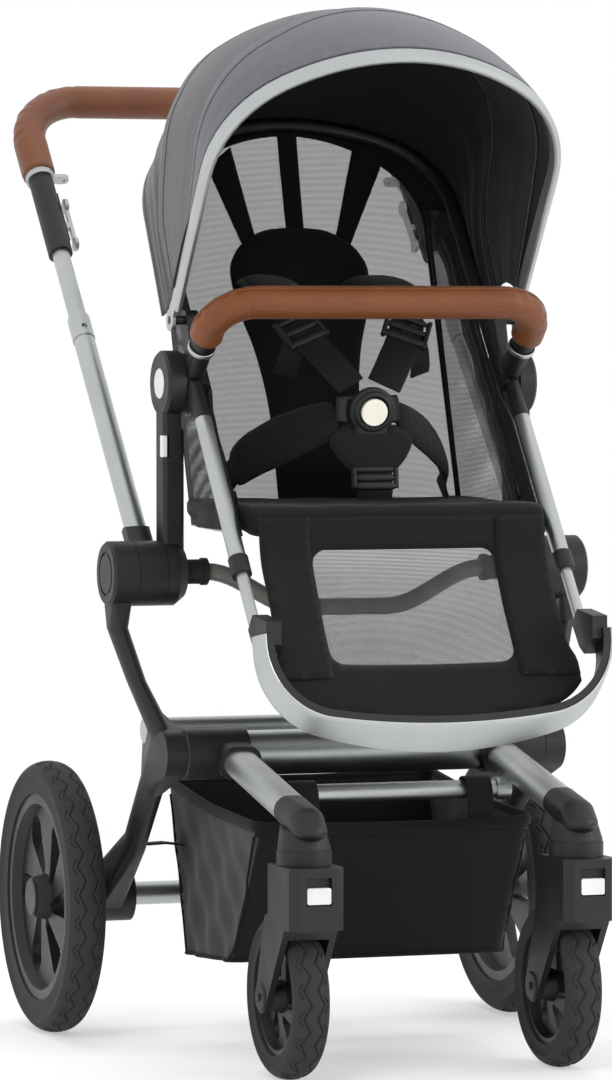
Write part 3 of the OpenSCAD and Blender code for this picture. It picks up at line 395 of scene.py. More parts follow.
def shade_by_angle(obj, degrees):
    """Marks edges sharper than the angle, so smooth shading breaks there."""
    mesh = obj.data
    mesh.polygons.foreach_set("use_smooth", np.full(len(mesh.polygons), True))
    mesh.set_sharp_from_angle(angle=math.radians(degrees))


def surface(name, p, mat, closed_u=False, closed_v=False, ends=False, uv=None, sharp=None, flip=False):
    """A surface from a grid of points p[i, j]. closed_u joins the last i to the first, closed_v the last
    j to the first; ends caps both i ends of a closed_v tube with a fan. UVs are arc lengths in metres
    unless uv gives them."""
    nu, nv = p.shape[:2]
    iu = np.arange(nu if closed_u else nu - 1)
    jv = np.arange(nv if closed_v else nv - 1)
    i, j = np.meshgrid(iu, jv, indexing="ij")
    i2, j2 = (i + 1) % nu, (j + 1) % nv
    quads = np.stack([i * nv + j, i2 * nv + j, i2 * nv + j2, i * nv + j2], -1).reshape(-1, 4)
    if uv is None:
        du = np.linalg.norm(np.diff(p, axis=0, append=p[:1]), axis=2)
        dv = np.linalg.norm(np.diff(p, axis=1, append=p[:, :1]), axis=2)
        cu = np.zeros((nu + 1, nv))
        cv = np.zeros((nu, nv + 1))
        cu[1:] = np.cumsum(du, 0)
        cv[:, 1:] = np.cumsum(dv, 1)
        cu = np.repeat(cu.mean(1)[:, None], nv, 1)
        cv = cv - cv[:, :1]
        uu, vv = cu[:, :], cv
        a = np.stack([uu[i, j], vv[i, j]], -1)
        b = np.stack([uu[i + 1, j], vv[np.minimum(i + 1, nu - 1), j]], -1)
        c = np.stack([uu[i + 1, j], vv[np.minimum(i + 1, nu - 1), j + 1]], -1)
        d = np.stack([uu[i, j], vv[i, j + 1]], -1)
    else:
        a, b, c, d = uv[i, j], uv[i2, j], uv[i2, j2], uv[i, j2]
    loops = np.stack([a, b, c, d], 2).reshape(-1, 2)
    if flip:
        quads = quads[:, ::-1]
        loops = loops.reshape(-1, 4, 2)[:, ::-1].reshape(-1, 2)
    verts, faces, uvs = p.reshape(-1, 3), [quads], [loops]
    if ends:
        centres = np.stack([p[0].mean(0), p[-1].mean(0)])
        base = len(verts)
        verts = np.vstack([verts, centres])
        k = np.arange(nv)
        k2 = (k + 1) % nv
        first = np.stack([k, k2, np.full(nv, base)], 1)
        last = np.stack([(nu - 1) * nv + k2, (nu - 1) * nv + k, np.full(nv, base + 1)], 1)
        if flip:
            first, last = first[:, ::-1], last[:, ::-1]
        faces.append(np.vstack([first, last]))
        uvs.append(np.zeros((len(first) * 6, 2)))
    return build(name, verts, faces, mat, np.vstack(uvs), sharp=sharp)


def frames(path, up):
    """Unit tangents, side vectors and normals along a path, with the normal kept as near up as it can be."""
    path = np.asarray(path, float)
    t = np.gradient(path, axis=0)
    t /= np.linalg.norm(t, axis=1)[:, None]
    up = np.broadcast_to(np.asarray(up, float), path.shape)
    n = up - (up * t).sum(1)[:, None] * t
    n /= np.linalg.norm(n, axis=1)[:, None]
    return t, np.cross(t, n), n


def sweep(name, path, section, mat, up, ends=True, sharp=None, scale=None, closed=False):
    """A closed section, given as [side, normal] points, carried along a path. scale gives a factor for
    each path point, or one for each axis. UV u runs along the path and v round the section, in metres."""
    path = np.asarray(path, float)
    _, side, normal = frames(path, up)
    sec = np.asarray(section, float)
    k = np.ones((len(path), 2))
    if scale is not None:
        k = k * np.asarray(scale, float).reshape(len(path), -1)
    if sec.ndim == 2:
        sec = np.broadcast_to(sec, (len(path), *sec.shape))
    across = (sec[..., :1] * k[:, None, :1]) * side[:, None]
    p = path[:, None] + across + (sec[..., 1:] * k[:, None, 1:]) * normal[:, None]
    return surface(name, p, mat, closed_u=closed, closed_v=True, ends=ends and not closed, sharp=sharp,
                   flip=True)


def lathe(name, profile, mat, centre, axis, n=64, sharp=35.0):
    """A profile of [radius, along] points turned about an axis through the centre."""
    axis = np.asarray(axis, float) / np.linalg.norm(axis)
    helper = np.array([0.0, 0.0, 1.0]) if abs(axis[2]) < 0.9 else np.array([0.0, 1.0, 0.0])
    e1 = np.cross(axis, helper)
    e1 /= np.linalg.norm(e1)
    e2 = np.cross(axis, e1)
    a = np.linspace(0, 2 * math.pi, n, endpoint=False)
    ring = np.cos(a)[:, None] * e1 + np.sin(a)[:, None] * e2
    pr = np.asarray(profile, float)
    p = np.asarray(centre, float) + pr[:, None, :1] * ring[None] + pr[:, None, 1:] * axis
    return surface(name, p, mat, closed_v=True, ends=True, sharp=sharp, flip=True)


def inside(points, loop):
    """Which points lie inside a closed loop, by counting the edges that a ray crosses."""
    x, y = points[:, 0], points[:, 1]
    found = np.zeros(len(points), bool)
    for (x0, y0), (x1, y1) in zip(loop, np.roll(loop, -1, 0)):
        if y0 != y1:
            found ^= ((y0 > y) != (y1 > y)) & (x < (x1 - x0) * (y - y0) / (y1 - y0) + x0)
    return found


def closed_line(points, step):
    """A closed polyline with its long edges cut to about the step."""
    p = np.asarray(points, float)
    out = []
    for a, b in zip(p, np.roll(p, -1, 0)):
        k = max(1, int(round(np.linalg.norm(b - a) / step)))
        out.append(a + (b - a) * np.linspace(0, 1, k, endpoint=False)[:, None])
    return np.vstack(out)


def patch(name, outline, place, mat, cell=0.010, thickness=0.0012, holes=(), offset=0.0, flip=False):
    """A cut of cloth: a flat outline with holes, in metres, filled with triangles about one cell wide
    and laid on the surface place(u, v). Its UVs are the flat cut's own metres."""
    loops = [closed_line(l, cell * 0.6) for l in (outline, *holes)]
    lo, hi = loops[0].min(0), loops[0].max(0)
    gx, gy = np.meshgrid(np.arange(lo[0], hi[0], cell), np.arange(lo[1], hi[1], cell * 0.866))
    gx = gx + (np.arange(len(gx)) % 2)[:, None] * cell / 2
    grid = np.c_[gx.ravel(), gy.ravel()]
    ring = np.vstack(loops)

    def held(q):
        in_holes = [inside(q, hole) for hole in loops[1:]] or [np.zeros(len(q), bool)]
        return inside(q, loops[0]) & ~np.any(in_holes, 0)

    grid = grid[held(grid)]
    near = np.array([np.min(np.linalg.norm(ring - q, axis=1)) for q in grid]) if len(grid) else np.zeros(0)
    grid = grid[near > cell * 0.45] if len(grid) else grid.reshape(0, 2)
    edges, start = [], 0
    for l in loops:
        k = np.arange(len(l))
        edges += [(int(start + a), int(start + (a + 1) % len(l))) for a in k]
        start += len(l)
    flat = [Vector(q) for q in np.vstack([ring, grid])]
    verts, _, faces, *_ = delaunay_2d_cdt(flat, edges, [], 0, 1e-7)
    uv = np.array([tuple(v) for v in verts])
    tri = np.array([f for f in faces if len(f) == 3])
    tri = tri[held(uv[tri].mean(1))]
    if flip:
        tri = tri[:, ::-1]
    obj = build(name, place(uv[:, 0], uv[:, 1]), [tri], mat, uv[tri].reshape(-1, 2))
    if thickness:
        shell(obj, thickness, offset)
    return obj


def cloth(obj):
    """Works out a cloth piece's width and length from the mesh's area and spread, and hands the mesh back
    unchanged. Its area is the mesh's own.
    """
    mesh = obj.data
    area = sum(p.area for p in mesh.polygons)
    co = np.array([v.co for v in mesh.vertices])
    spread = sorted(np.ptp(co, axis=0))[::-1]
    width = max(spread[1], area / spread[0], 0.011)
    length = max(spread[0], area / width * 1.0005, 0.011)
    while area < 0.31 * width * length:
        length *= 0.98
        width *= 0.98
    return obj


def shell(obj, thickness, offset=-1.0):
    """Gives a sheet its thickness."""
    m = obj.modifiers.new("Thickness", "SOLIDIFY")
    m.thickness, m.offset = thickness, offset
    return obj


def finish_piece(obj, body, node=None):
    """Hangs a piece on its body and names the CAD nodes it stands for, which it hides."""
    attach(obj, body)
    if node:
        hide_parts(*([node] if isinstance(node, str) else node))
    return obj


# ---------------------------------------------------------------- hard parts keep their own shape
FINISH = {
    "black": ["leg_left", "leg_right", "posts", "elbow_housings", "caster_heads", "fork_left", "fork_right",
              "push_rings", "push_sleeves", "adapters", "seat_brackets", "bumper_legs", "footrest_liner",
              "brake_pedal"],
    "pale": ["swivel_lock_left", "swivel_lock_right", "hinge_discs", "release_button_left",
             "release_button_right"],
    "button": ["buckle_button"],
    "tube": ["rear_cross_tube", "rear_axle", "main_cross_tube", "push_tubes", "seat_frame"],
    "bright": ["front_tubes", "front_cross_bar", "push_slider", "push_clamps", "latch_left", "latch_right",
               "hood_hoop", "footrest_tubes"],
    "steel": ["pivot_pins"],
    "grey_paint": ["carry_bar"],
    "rubber": ["carry_bar_ends"],
    "wheel": ["front_rim_left", "front_rim_right", "rear_rim_left", "rear_rim_right", "rear_cap_left",
              "rear_cap_right"],
}
for finish_name, names in FINISH.items():
    for node_name in names:
        node = NODES[node_name]
        node.data.materials.clear()
        node.data.materials.append(M[finish_name])


# ---------------------------------------------------------------- tyres
def tyre(name, centre, r_in, r_out, w, body, node, periods):
    """A tyre with two zigzag grooves and a chevron row on each shoulder. The section is an arc of half width
    w/2 at the top, then sides that draw in to the rim. Grooves go inwards by their depth where a groove's
    distance is under half its width."""
    a = np.linspace(-1, 1, 57)
    lateral = w / 2 * np.sin(a * math.pi / 2)
    drop = 0.32 * w * (1 - np.cos(a * math.pi / 2))
    side_r = np.linspace(0, 1, 9)[1:]
    reach = r_out - 0.32 * w - r_in
    flank = w / 2 - 0.003 * np.clip(side_r * 2.5, 0, 1) ** 0.7
    radii = np.r_[r_in + reach * (1 - side_r[::-1]), r_out - drop, r_in + reach * (1 - side_r)]
    across = np.r_[-flank[::-1], lateral, flank]
    radii = np.r_[r_in, radii, r_in]
    across = np.r_[-(w / 2 - 0.0065), across, w / 2 - 0.0065]
    steps = periods * 40
    theta = np.linspace(0, 2 * math.pi, steps, endpoint=False)
    phase = (theta * periods / (2 * math.pi))[:, None]
    s = (across / w)[None]
    zig = 2 * np.abs(2 * (phase % 1) - 1) - 1

    def groove(distance, width, depth):
        return depth * np.clip(1.6 - 1.6 * np.abs(distance) * w / (width / 2), 0, 1)

    cut_in = np.zeros((steps, len(across)))
    for sign in (-1, 1):
        zigzag = sign * 0.18 + 0.095 * zig
        cut_in = np.maximum(cut_in, groove(s - zigzag, 0.0030, 0.0019))
        chevron = sign * 0.30 + 0.095 * zig
        there = (sign * zig > -0.15) & (sign * zig < 0.86)
        cut_in = np.maximum(cut_in, groove(s - chevron, 0.0028, 0.0016) * there)
        ring = sign * 0.455
        cut_in = np.maximum(cut_in, groove(s - ring, 0.0016, 0.0005))
    top = np.r_[np.zeros(9), np.ones(57), np.zeros(9)][None]
    r = radii[None] - cut_in * top
    centre = np.asarray(centre, float)
    p = np.stack([np.broadcast_to(across[None], r.shape) + centre[0],
                  centre[1] + r * np.cos(theta)[:, None], centre[2] + r * np.sin(theta)[:, None]], -1)
    obj = surface(name, p, M["tyre"], closed_u=True, closed_v=True, flip=False, sharp=40)
    return finish_piece(obj, body, node)


for side, word in ((-1, "left"), (1, "right")):
    tyre("front_tread_" + word, (side * CASTER_X, FRONT_AXLE[1], FRONT_AXLE[2]), 0.063, 0.088, 0.040,
         "front_wheel_" + word, "front_tyre_" + word, 18)
    tyre("rear_tread_" + word, (side * 0.275, REAR_AXLE[1], REAR_AXLE[2]), 0.116, 0.1525, 0.042,
         "rear_wheel_" + word, "rear_tyre_" + word, 30)


# ---------------------------------------------------------------- hood
HOOD = {"w": 0.2035, "h1": 0.194, "h": 0.158, "rc": 0.140}


def ray(angle):
    """Unit directions square to the hood's pivot, at angles in degrees above the horizontal."""
    a = np.radians(angle)
    return np.stack([np.zeros_like(a), -np.cos(a), np.sin(a)], -1)


def hood_foot(angle):
    """How far above the pivot the fabric's lower edge runs, which lets the clamp show below it."""
    return float(np.interp(angle, [54, 75, 110, 128, 150], [0.040, 0.041, 0.043, 0.042, 0.058]))


def first_seam(reach):
    """Angle of the front seam, which leans back towards the crown."""
    return np.interp(reach, [0.06, 0.083, 0.218, 0.322, 0.352], [66.0, 66.5, 70.0, 75.3, 80.0])


def second_seam(reach):
    """Angle of the rear seam, which sweeps back near the pivot."""
    return np.interp(reach, [0.06, 0.122, 0.19, 0.25, 0.352], [128.0, 125.0, 109.0, 101.0, 99.0])


def hood_points(a, start, end, inset0, inset1, n=181, stand=0.0):
    """One cross curve of a hood panel, a of the way from its start angle to its end angle, where both are
    functions of the reach from the pivot. stand is the gap behind the hoop at a = 0."""
    inset = inset0 + (inset1 - inset0) * a
    base = arch_line(HOOD["w"], HOOD["h1"], HOOD["h"], HOOD["rc"], n, inset, 0.06)
    mid = float(start(base[0, 1]) * (1 - a) + end(base[0, 1]) * a)
    line = arch_line(HOOD["w"], HOOD["h1"], HOOD["h"], HOOD["rc"], n, inset, hood_foot(mid))
    angle = start(line[:, 1]) * (1 - a) + end(line[:, 1]) * a
    out = HOOD_PIVOT + line[:, :1] * [1.0, 0, 0] + line[:, 1:] * ray(angle)
    back = np.stack([np.zeros_like(angle), np.sin(np.radians(angle)), np.cos(np.radians(angle))], -1)
    return out + stand * (1 - a) ** 3 * back


def outward(p):
    """Unit normals of a grid of points, away from its middle."""
    n = np.cross(np.gradient(p, axis=0), np.gradient(p, axis=1))
    n /= np.maximum(np.linalg.norm(n, axis=2), 1e-12)[..., None]
    middle = HOOD_PIVOT + [0, 0.02, 0.10]
    sign = np.sign(((p - middle) * n).sum(2).mean())
    return n * sign


def creases(nu, nv, folds, deepest, seed, low=1.0):
    """Tension folds that fan out from the fabric's lower corners and fade towards the crown: a sum of
    sines across the panel whose phase drifts along it. Zero on the panel's front and rear edges."""
    rng = np.random.default_rng(seed)
    a = np.linspace(0, 1, nu)[:, None]
    t = np.linspace(0, 1, nv)[None]
    side = np.abs(2 * t - 1)
    out = np.zeros((nu, nv))
    for k in range(5):
        n = folds * (0.6 + 0.35 * k)
        phase = rng.uniform(0, 6.28) + rng.uniform(-2.2, 2.2) * t
        phase = phase + rng.uniform(-1, 1) * np.sin(3 * np.pi * t)
        out += np.sin(2 * np.pi * n * a + phase) / (1 + k)
    fade = 0.16 + 0.84 * side ** 2.2 * low
    edge = np.sin(np.pi * np.clip(a, 0, 1)) ** 0.5
    return -deepest * (0.5 + 0.25 * out) * fade * edge


def hood_panel(name, p, body, node, mat):
    obj = surface(name, p, mat)
    obj.data.materials.append(M["lining"])
    cloth(obj)
    shell(obj, 0.0022)
    obj.modifiers["Thickness"].material_offset = 1
    obj.modifiers["Thickness"].material_offset_rim = 0
    return finish_piece(obj, body, node)


def hem(name, p, body, mat):
    """A doubled edge on a panel, from rows of its own points, raised by the thickness of the fold."""
    obj = surface(name, p + outward(p) * 0.0006, mat)
    shell(obj, 0.0009)
    cloth(obj)
    return finish_piece(obj, body, None)


def rear_edge(n=181):
    """The hood's rear edge, which runs round the outside of the seat's arch and wraps behind it."""
    line = arch_line(0.1878, 0.300, 0.1338, 0.1200, n, 0.0, 0.1727)
    behind = np.interp(line[:, 1], [0.173, 0.231, 0.330, 0.436], [0.034, 0.0246, 0.010, 0.012])
    down = np.array([0.0, math.sin(SEAT_SLOPE), -math.cos(SEAT_SLOPE)])
    return line[:, :1] * [1.0, 0, 0] + SEAT_TOP - line[:, 1:] * SEAT_DIR + behind[:, None] * down


def make_gusset():
    """The lining between the hood's rear edge and the top of the seat's back."""
    outer = arch_line(0.1863, 0.300, 0.1323, 0.1187, 121, 0.0, 0.290)
    down = np.array([0.0, math.sin(SEAT_SLOPE), -math.cos(SEAT_SLOPE)])
    behind = np.interp(outer[:, 1], [0.290, 0.330, 0.436], [0.016, 0.0105, 0.0118])
    far = outer[:, :1] * [1.0, 0, 0] + SEAT_TOP - outer[:, 1:] * SEAT_DIR + behind[:, None] * down
    inner = arch_line(0.1600, 0.330, 0.1175, 0.095, 121, 0.0, 0.349)
    near = CREASE + inner[:, :1] * [1.0, 0, 0] + inner[:, 1:] * UP_BACK - 0.0035 * OFF_BACK
    a = np.linspace(0, 1, 9)[:, None, None]
    p = far * (1 - a) + near * a
    p = p + 0.004 * np.sin(np.pi * a) * down
    obj = surface("hood_gusset", p, M["lining"])
    cloth(obj)
    shell(obj, 0.0012, 0.0)
    finish_piece(obj, "seat", None)


def make_hood():
    rows = np.linspace(0, 1, 33)
    front = np.array([hood_points(a, lambda r: 54.0 + 0 * r, first_seam, 0.0004, 0.0064, stand=0.0098)
                      for a in rows])
    front += outward(front) * creases(33, 181, 2.0, 0.0012, 3)[..., None]
    # The front panel and its hem take the hood fabric lightened as painted light.
    hood_panel("hood_front_panel", front, "hood_bow", "hood_front", M["hood_front"])
    hem("hood_front_hem", front[-6:], "hood_bow", M["hood_front"])

    middle = np.array([hood_points(a, lambda r: first_seam(r) - 4.0, second_seam, 0.0098, 0.0112)
                       for a in np.linspace(0, 1, 41)])
    middle += outward(middle) * creases(41, 181, 2.5, 0.0016, 5)[..., None]
    hood_panel("hood_middle_panel", middle, "hood_mid_bow", "hood_middle", M["hood"])
    hem("hood_middle_hem", middle[-6:], "hood_mid_bow", M["hood"])

    start = hood_points(0.0, lambda r: second_seam(r) - 6.0, second_seam, 0.0142, 0.0142)
    end = rear_edge()
    a = np.linspace(0, 1, 49)[:, None, None]
    rear = start * (1 - a) + end * a
    lift = np.clip(rear[..., 2:] - 0.93, 0, 0.2) * 5
    rear = rear + outward(rear) * 0.012 * np.sin(np.pi * a) * np.clip(lift, 0, 1)
    rear += outward(rear) * creases(49, 181, 3.5, 0.006, 8)[..., None]
    # The rear panel and its hem take the hood fabric darkened as painted shade.
    hood_panel("hood_rear_panel", rear, "seat", "hood_rear", M["hood_rear"])
    hem("hood_rear_hem", rear[-4:], "seat", M["hood_rear"])
    make_gusset()


make_hood()


# ---------------------------------------------------------------- seat
BACK_LENGTH = 0.4475


def on_back(x, v, n=0.0, sag=0.010):
    """Points of the sling's back: x across, v up from the crease, n off its face. The sling gives by sag
    between its side edges and its two ends."""
    x, v = np.broadcast_arrays(np.asarray(x, float), np.asarray(v, float))
    give = sag * np.clip(1 - (x / 0.162) ** 2, 0, 1) * np.clip(np.sin(np.pi * v / BACK_LENGTH), 0, 1) ** 0.7
    return (CREASE + x[..., None] * [1.0, 0, 0] + v[..., None] * UP_BACK
            + (n - give)[..., None] * OFF_BACK)


def on_wall(y, z, out=0.0, side=1):
    """Points of a side wall, which leans in from the tube to the back and bulges a little. out is away from
    the child. Its front edge rolls out to the tube below the hinge."""
    y, z = np.asarray(y, float), np.asarray(z, float)
    d1 = np.clip((y + 0.144) * 0.776 - (z - 0.692) * 0.6307, 0, 1)
    d2 = np.clip(-(y + 0.025) * 0.9475 + (z - 0.590) * 0.3196, 0, 1)
    q = d1 / (d1 + d2 + 1e-9)
    roll = np.clip((0.018 - d1) / 0.018, 0, 1) ** 1.5 * np.clip(np.abs(z - 0.757) / 0.03 - 1.17, 0, 1)
    x = 0.1672 - 0.0075 * q + 0.018 * q * (1 - q) + 0.0078 * roll + out
    ripple = 0.0012 * np.sin(95 * z + 40 * y) * np.clip(q * (1 - q) * 4, 0, 1)
    return np.stack([side * (x + ripple), y, z], -1)


def cut(name, outline, place, mat, body="seat", node=None,
        thickness=0.0012, offset=0.0, cell=0.010, holes=(), flip=False):
    """One cut of cloth, given its thickness and hung on its body."""
    obj = patch(name, outline, place, mat, cell, 0.0, holes, flip=flip)
    cloth(obj)
    shell(obj, thickness, offset)
    return finish_piece(obj, body, node)


def pad_section(n=28, power=2.6):
    """A unit section with a flat belly and round edges: |x|^p + |y|^2 = 1, as [side, normal]."""
    a = np.linspace(0, 2 * math.pi, n, endpoint=False)
    c, s = np.cos(a), np.sin(a)
    return np.c_[np.sign(c) * np.abs(c) ** (2 / power), s]


def pad(name, points, up, width, thick, mat, body="seat", node=None, ends=(0.25, 0.5),
        n=60):
    """A stuffed strap pad along a smooth path. width and thick are numbers or lists along the path; ends
    gives how round its first and last end are, as a share of the half width."""
    path = smooth_path(points, n)
    t = np.linspace(0, 1, n)
    w = np.interp(t, np.linspace(0, 1, np.size(width)), np.atleast_1d(width)) / 2
    h = np.interp(t, np.linspace(0, 1, np.size(thick)), np.atleast_1d(thick)) / 2
    d = np.r_[0, np.cumsum(np.linalg.norm(np.diff(path, axis=0), axis=1))]
    k = np.ones(n)
    for edge, share in ((d, ends[0]), (d[-1] - d, ends[1])):
        reach = np.maximum(w * share * 2, 1e-4)
        k = np.minimum(k, np.sqrt(np.clip(1 - (1 - np.clip(edge / reach, 0.004, 1)) ** 2, 0, 1)))
    rng = np.random.default_rng(len(name))
    pucker = 1 + 0.03 * np.sin(t * d[-1] * 420 + rng.uniform(0, 6)) * (k > 0.9)
    sec = pad_section()
    obj = sweep(name, path, sec, mat, up, scale=np.c_[w * (0.55 + 0.45 * k) * np.where(k > 0.2, 1, k / 0.2),
                                                      h * k * pucker])
    finish_piece(obj, body, node)
    _, side, _ = frames(path, up)
    edge = [path[3:-1] + s * side[3:-1] * (w * (0.55 + 0.45 * k))[3:-1, None] * 0.985 for s in (-1, 1)]
    return obj, edge


def binding(name, path, mat, body="seat", r=0.0014, up=(0.0, 0.0, 1.0)):
    """A corded edge: a thin round binding along an edge of a pad or panel."""
    path = resample(path, max(8, len(path)))
    obj = sweep(name, path, round_section(r, 8), mat, up)
    return finish_piece(obj, body, None)


def webbing(name, points, up, width, body="seat", node=None, thick=0.0022, mat=None,
            n=40):
    """A flat woven strap along a smooth path."""
    path = smooth_path(points, n)
    obj = sweep(name, path, soft_section(width, thick, thick * 0.45, 3), mat or M["webbing"], up, sharp=50)
    return finish_piece(obj, body, node)


def make_back():
    """Net back with the straps and the headrest pad that lie on it."""
    outline = arch_line(0.160, 0.330, 0.1175, 0.095, 90)
    cut("seat_back_net", outline, lambda x, v: on_back(x, v, -0.003), M["mesh"], node="seat_back",
        thickness=0.0005, cell=0.014)
    rim = arch_line(0.1605, 0.330, 0.118, 0.0955, 90)
    inner = arch_line(0.1605, 0.330, 0.118, 0.0955, 90, inset=0.006)
    band = np.vstack([rim, inner[::-1]])
    cut("seat_back_binding", band, lambda x, v: on_back(x, v, -0.0015), M["dark"],
        cell=0.006)
    for name, a, b in (
        ("back_strap_middle", ((-0.010, 0.325), (0.011, 0.325)), ((-0.011, 0.446), (0.012, 0.446))),
        ("back_strap_left", ((-0.064, 0.312), (-0.048, 0.322)), ((-0.098, 0.404), (-0.068, 0.428))),
        ("back_strap_right", ((0.064, 0.312), (0.048, 0.322)), ((0.112, 0.410), (0.080, 0.434))),
    ):
        cut(name, np.array([a[0], a[1], b[1], b[0]]), lambda x, v: on_back(x, v, 0.0012), M["dark"],
            cell=0.008)
    # the pad: a half disc that narrows into the centre strip
    half = smooth_path([(0.0, 0.333), (0.036, 0.329), (0.064, 0.313), (0.079, 0.290), (0.080, 0.266),
                        (0.074, 0.232), (0.062, 0.190), (0.054, 0.140), (0.052, 0.090), (0.055, 0.007)], 60)
    v = np.interp(np.linspace(0, 1, 72), np.linspace(0, 1, 60), half[:, 1])
    grid = []
    for w, level in zip(np.interp(np.linspace(0, 1, 72), np.linspace(0, 1, 60), half[:, 0]), v):
        w = max(w, 0.0008)
        x = w * np.sin(np.linspace(-math.pi / 2, math.pi / 2, 41))
        rise = np.clip(1 - (x / w) ** 2, 0, 1) ** 0.32
        top = min(1.0, math.sqrt(max(0.0, (0.334 - level) / 0.018)))
        channel = (0.0016 * math.exp(-((level - 0.246) / 0.003) ** 2)
                   + 0.0012 * math.exp(-((level - 0.120) / 0.003) ** 2))
        wave = 0.0006 * np.sin(60 * level + 30 * x)
        n = 0.0005 + (0.0145 * top - channel + wave) * rise
        grid.append(on_back(x, level, n))
    front = np.array(grid)
    back = np.array([on_back(0.998 * w * np.sin(np.linspace(math.pi / 2, -math.pi / 2, 41)), level, -0.0004)
                     for w, level in zip(np.maximum(np.interp(np.linspace(0, 1, 72), np.linspace(0, 1, 60),
                                                              half[:, 0]), 0.0008), v)])
    loop = np.concatenate([front, back[:, 1:-1]], 1)
    obj = surface("headrest_pad", loop, M["dark"], closed_v=True, ends=True)
    finish_piece(obj, "seat", "seat_pad")
    edge = on_back(half[:, 0] * 1.005, half[:, 1], 0.0012)
    other = on_back(-half[:, 0] * 1.005, half[:, 1], 0.0012)
    binding("headrest_binding", np.vstack([other[::-1], edge[1:]]), M["webbing"], up=tuple(OFF_BACK))


def make_walls():
    """Side walls: net, with a black band and a zip along the tube and a binding along the back."""
    wall = np.array([[-0.2425, 0.570], [-0.0265, 0.574], [0.0895, 0.9265], [0.045, 0.921], [-0.047, 0.810],
                     [-0.1385, 0.6965]])
    line = np.array([[-0.2425, 0.570], [-0.1385, 0.6965], [-0.047, 0.810], [0.044, 0.9205]])
    inner = line + 0.042 * np.array([0.776, -0.6307])
    inner[0] = [-0.176, 0.572]
    inner[-1] = [0.0765, 0.900]
    band = np.vstack([line, [[0.072, 0.9245]], inner[::-1]])
    for side, word in ((-1, "left"), (1, "right")):
        place = lambda y, z, s=side: on_wall(y, z, 0.0, s)
        near = lambda y, z, s=side: on_wall(y, z, -0.0013, s)
        cut("side_net_" + word, wall, place, M["mesh"], node="seat_sides" if side > 0 else None,
            thickness=0.0005, cell=0.013, flip=side < 0)
        cut("side_band_" + word, band, near, M["dark"], thickness=0.0014, flip=side < 0)
        foot = np.array([[-0.2405, 0.5725], [-0.0268, 0.5750], [-0.0195, 0.5985], [-0.2200, 0.5970]])
        cut("side_foot_" + word, foot, lambda y, z, s=side: on_wall(y, z, -0.0004, s), M["dark"],
            thickness=0.0014, flip=side < 0)
        rear = smooth_path([(-0.0265, 0.575), (0.0285, 0.742), (0.0892, 0.925)], 60)
        cut("side_border_" + word, np.vstack([rear, (rear - [0.005, 0.0])[::-1]]), near, M["dark"],
            thickness=0.0014, cell=0.007, flip=side < 0)
        run = resample([[-0.196, 0.612], [-0.1385, 0.6825], [-0.047, 0.795], [0.040, 0.898]], 640)
        zip_line = on_wall(run[:, 0] + 0.009 * 0.776, run[:, 1] - 0.009 * 0.6307, -0.0036, side)
        beat = np.where(np.arange(640) % 4 < 2, 1.0, 0.72)
        tape = sweep("zip_" + word, zip_line, pad_section(12, 4.0) * [0.0029, 0.0011], M["black"],
                     (-side, 0, 0),
                     scale=np.c_[beat, beat])
        finish_piece(tape, "seat", None)
        lips = sweep("zip_tape_" + word, zip_line + np.array([side * 0.0011, 0, 0]),
                     soft_section(0.013, 0.0012, 0.0005, 3), M["webbing"], (-side, 0, 0))
        finish_piece(lips, "seat", None)
        foot = zip_line[26]
        down = (zip_line[10] - zip_line[60]) / np.linalg.norm(zip_line[10] - zip_line[60])
        slider = sweep("zip_slider_" + word, foot + np.linspace(-0.004, 0.012, 12)[:, None] * down,
                       pad_section(14, 4.0) * [0.0042, 0.0026], M["black"], (-side, 0, 0),
                       scale=np.sin(np.linspace(0.5, 2.64, 12))[:, None] * [1, 1])
        finish_piece(slider, "seat", None)
        pull = sweep("zip_pull_" + word, foot + np.array([-side * 0.0035, 0, 0])
                     + np.linspace(0.004, 0.034, 16)[:, None] * (down * 0.9 + np.array([0, 0, -0.1])),
                     pad_section(12, 4.0) * [0.0036, 0.0012], M["webbing"], (-side, 0, 0))
        finish_piece(pull, "seat", None)


def make_base():
    """Seat base: a sewn pad that gives in the middle and rolls over at the front edge."""
    half, around = 0.1645, 96
    ring = smooth_path([(-0.034, 0.5845), (-0.120, 0.5800), (-0.210, 0.5745), (-0.249, 0.5690),
                        (-0.259, 0.5765),
                        (-0.2625, 0.5880), (-0.2570, 0.5990), (-0.246, 0.6036), (-0.225, 0.6040),
                        (-0.160, 0.6030), (-0.090, 0.6035), (-0.042, 0.6045), (-0.026, 0.6010),
                        (-0.0255, 0.5900)], around)
    x = np.linspace(-1, 1, 81)
    grid = []
    for s in x:
        edge = abs(s) ** 24
        y, z = ring[:, 0].copy(), ring[:, 1].copy()
        top = np.clip((z - 0.590) / 0.012, 0, 1)
        give = top * 0.0045 * (1 - s * s)
        z = z - give * np.clip((y + 0.262) / 0.05, 0, 1) * np.clip((-0.02 - y) / 0.05, 0, 1)
        z = z - top * 0.0022 * np.exp(-((y + 0.2385) / 0.0022) ** 2)
        z = z + top * 0.0009 * np.sin(46 * y + 5 * s) * np.sin(7 * s)
        z = 0.588 + (z - 0.588) * (1 - 0.12 * edge)
        grid.append(np.c_[np.full(around, s * half), y, z])
    obj = surface("seat_base_pad", np.array(grid), M["dark"], closed_v=True, ends=True, flip=True)
    finish_piece(obj, "seat", "seat_base")


make_back()
make_walls()
make_base()


# ---------------------------------------------------------------- harness
BUCKLE = np.array([0.0, -0.166, 0.702])


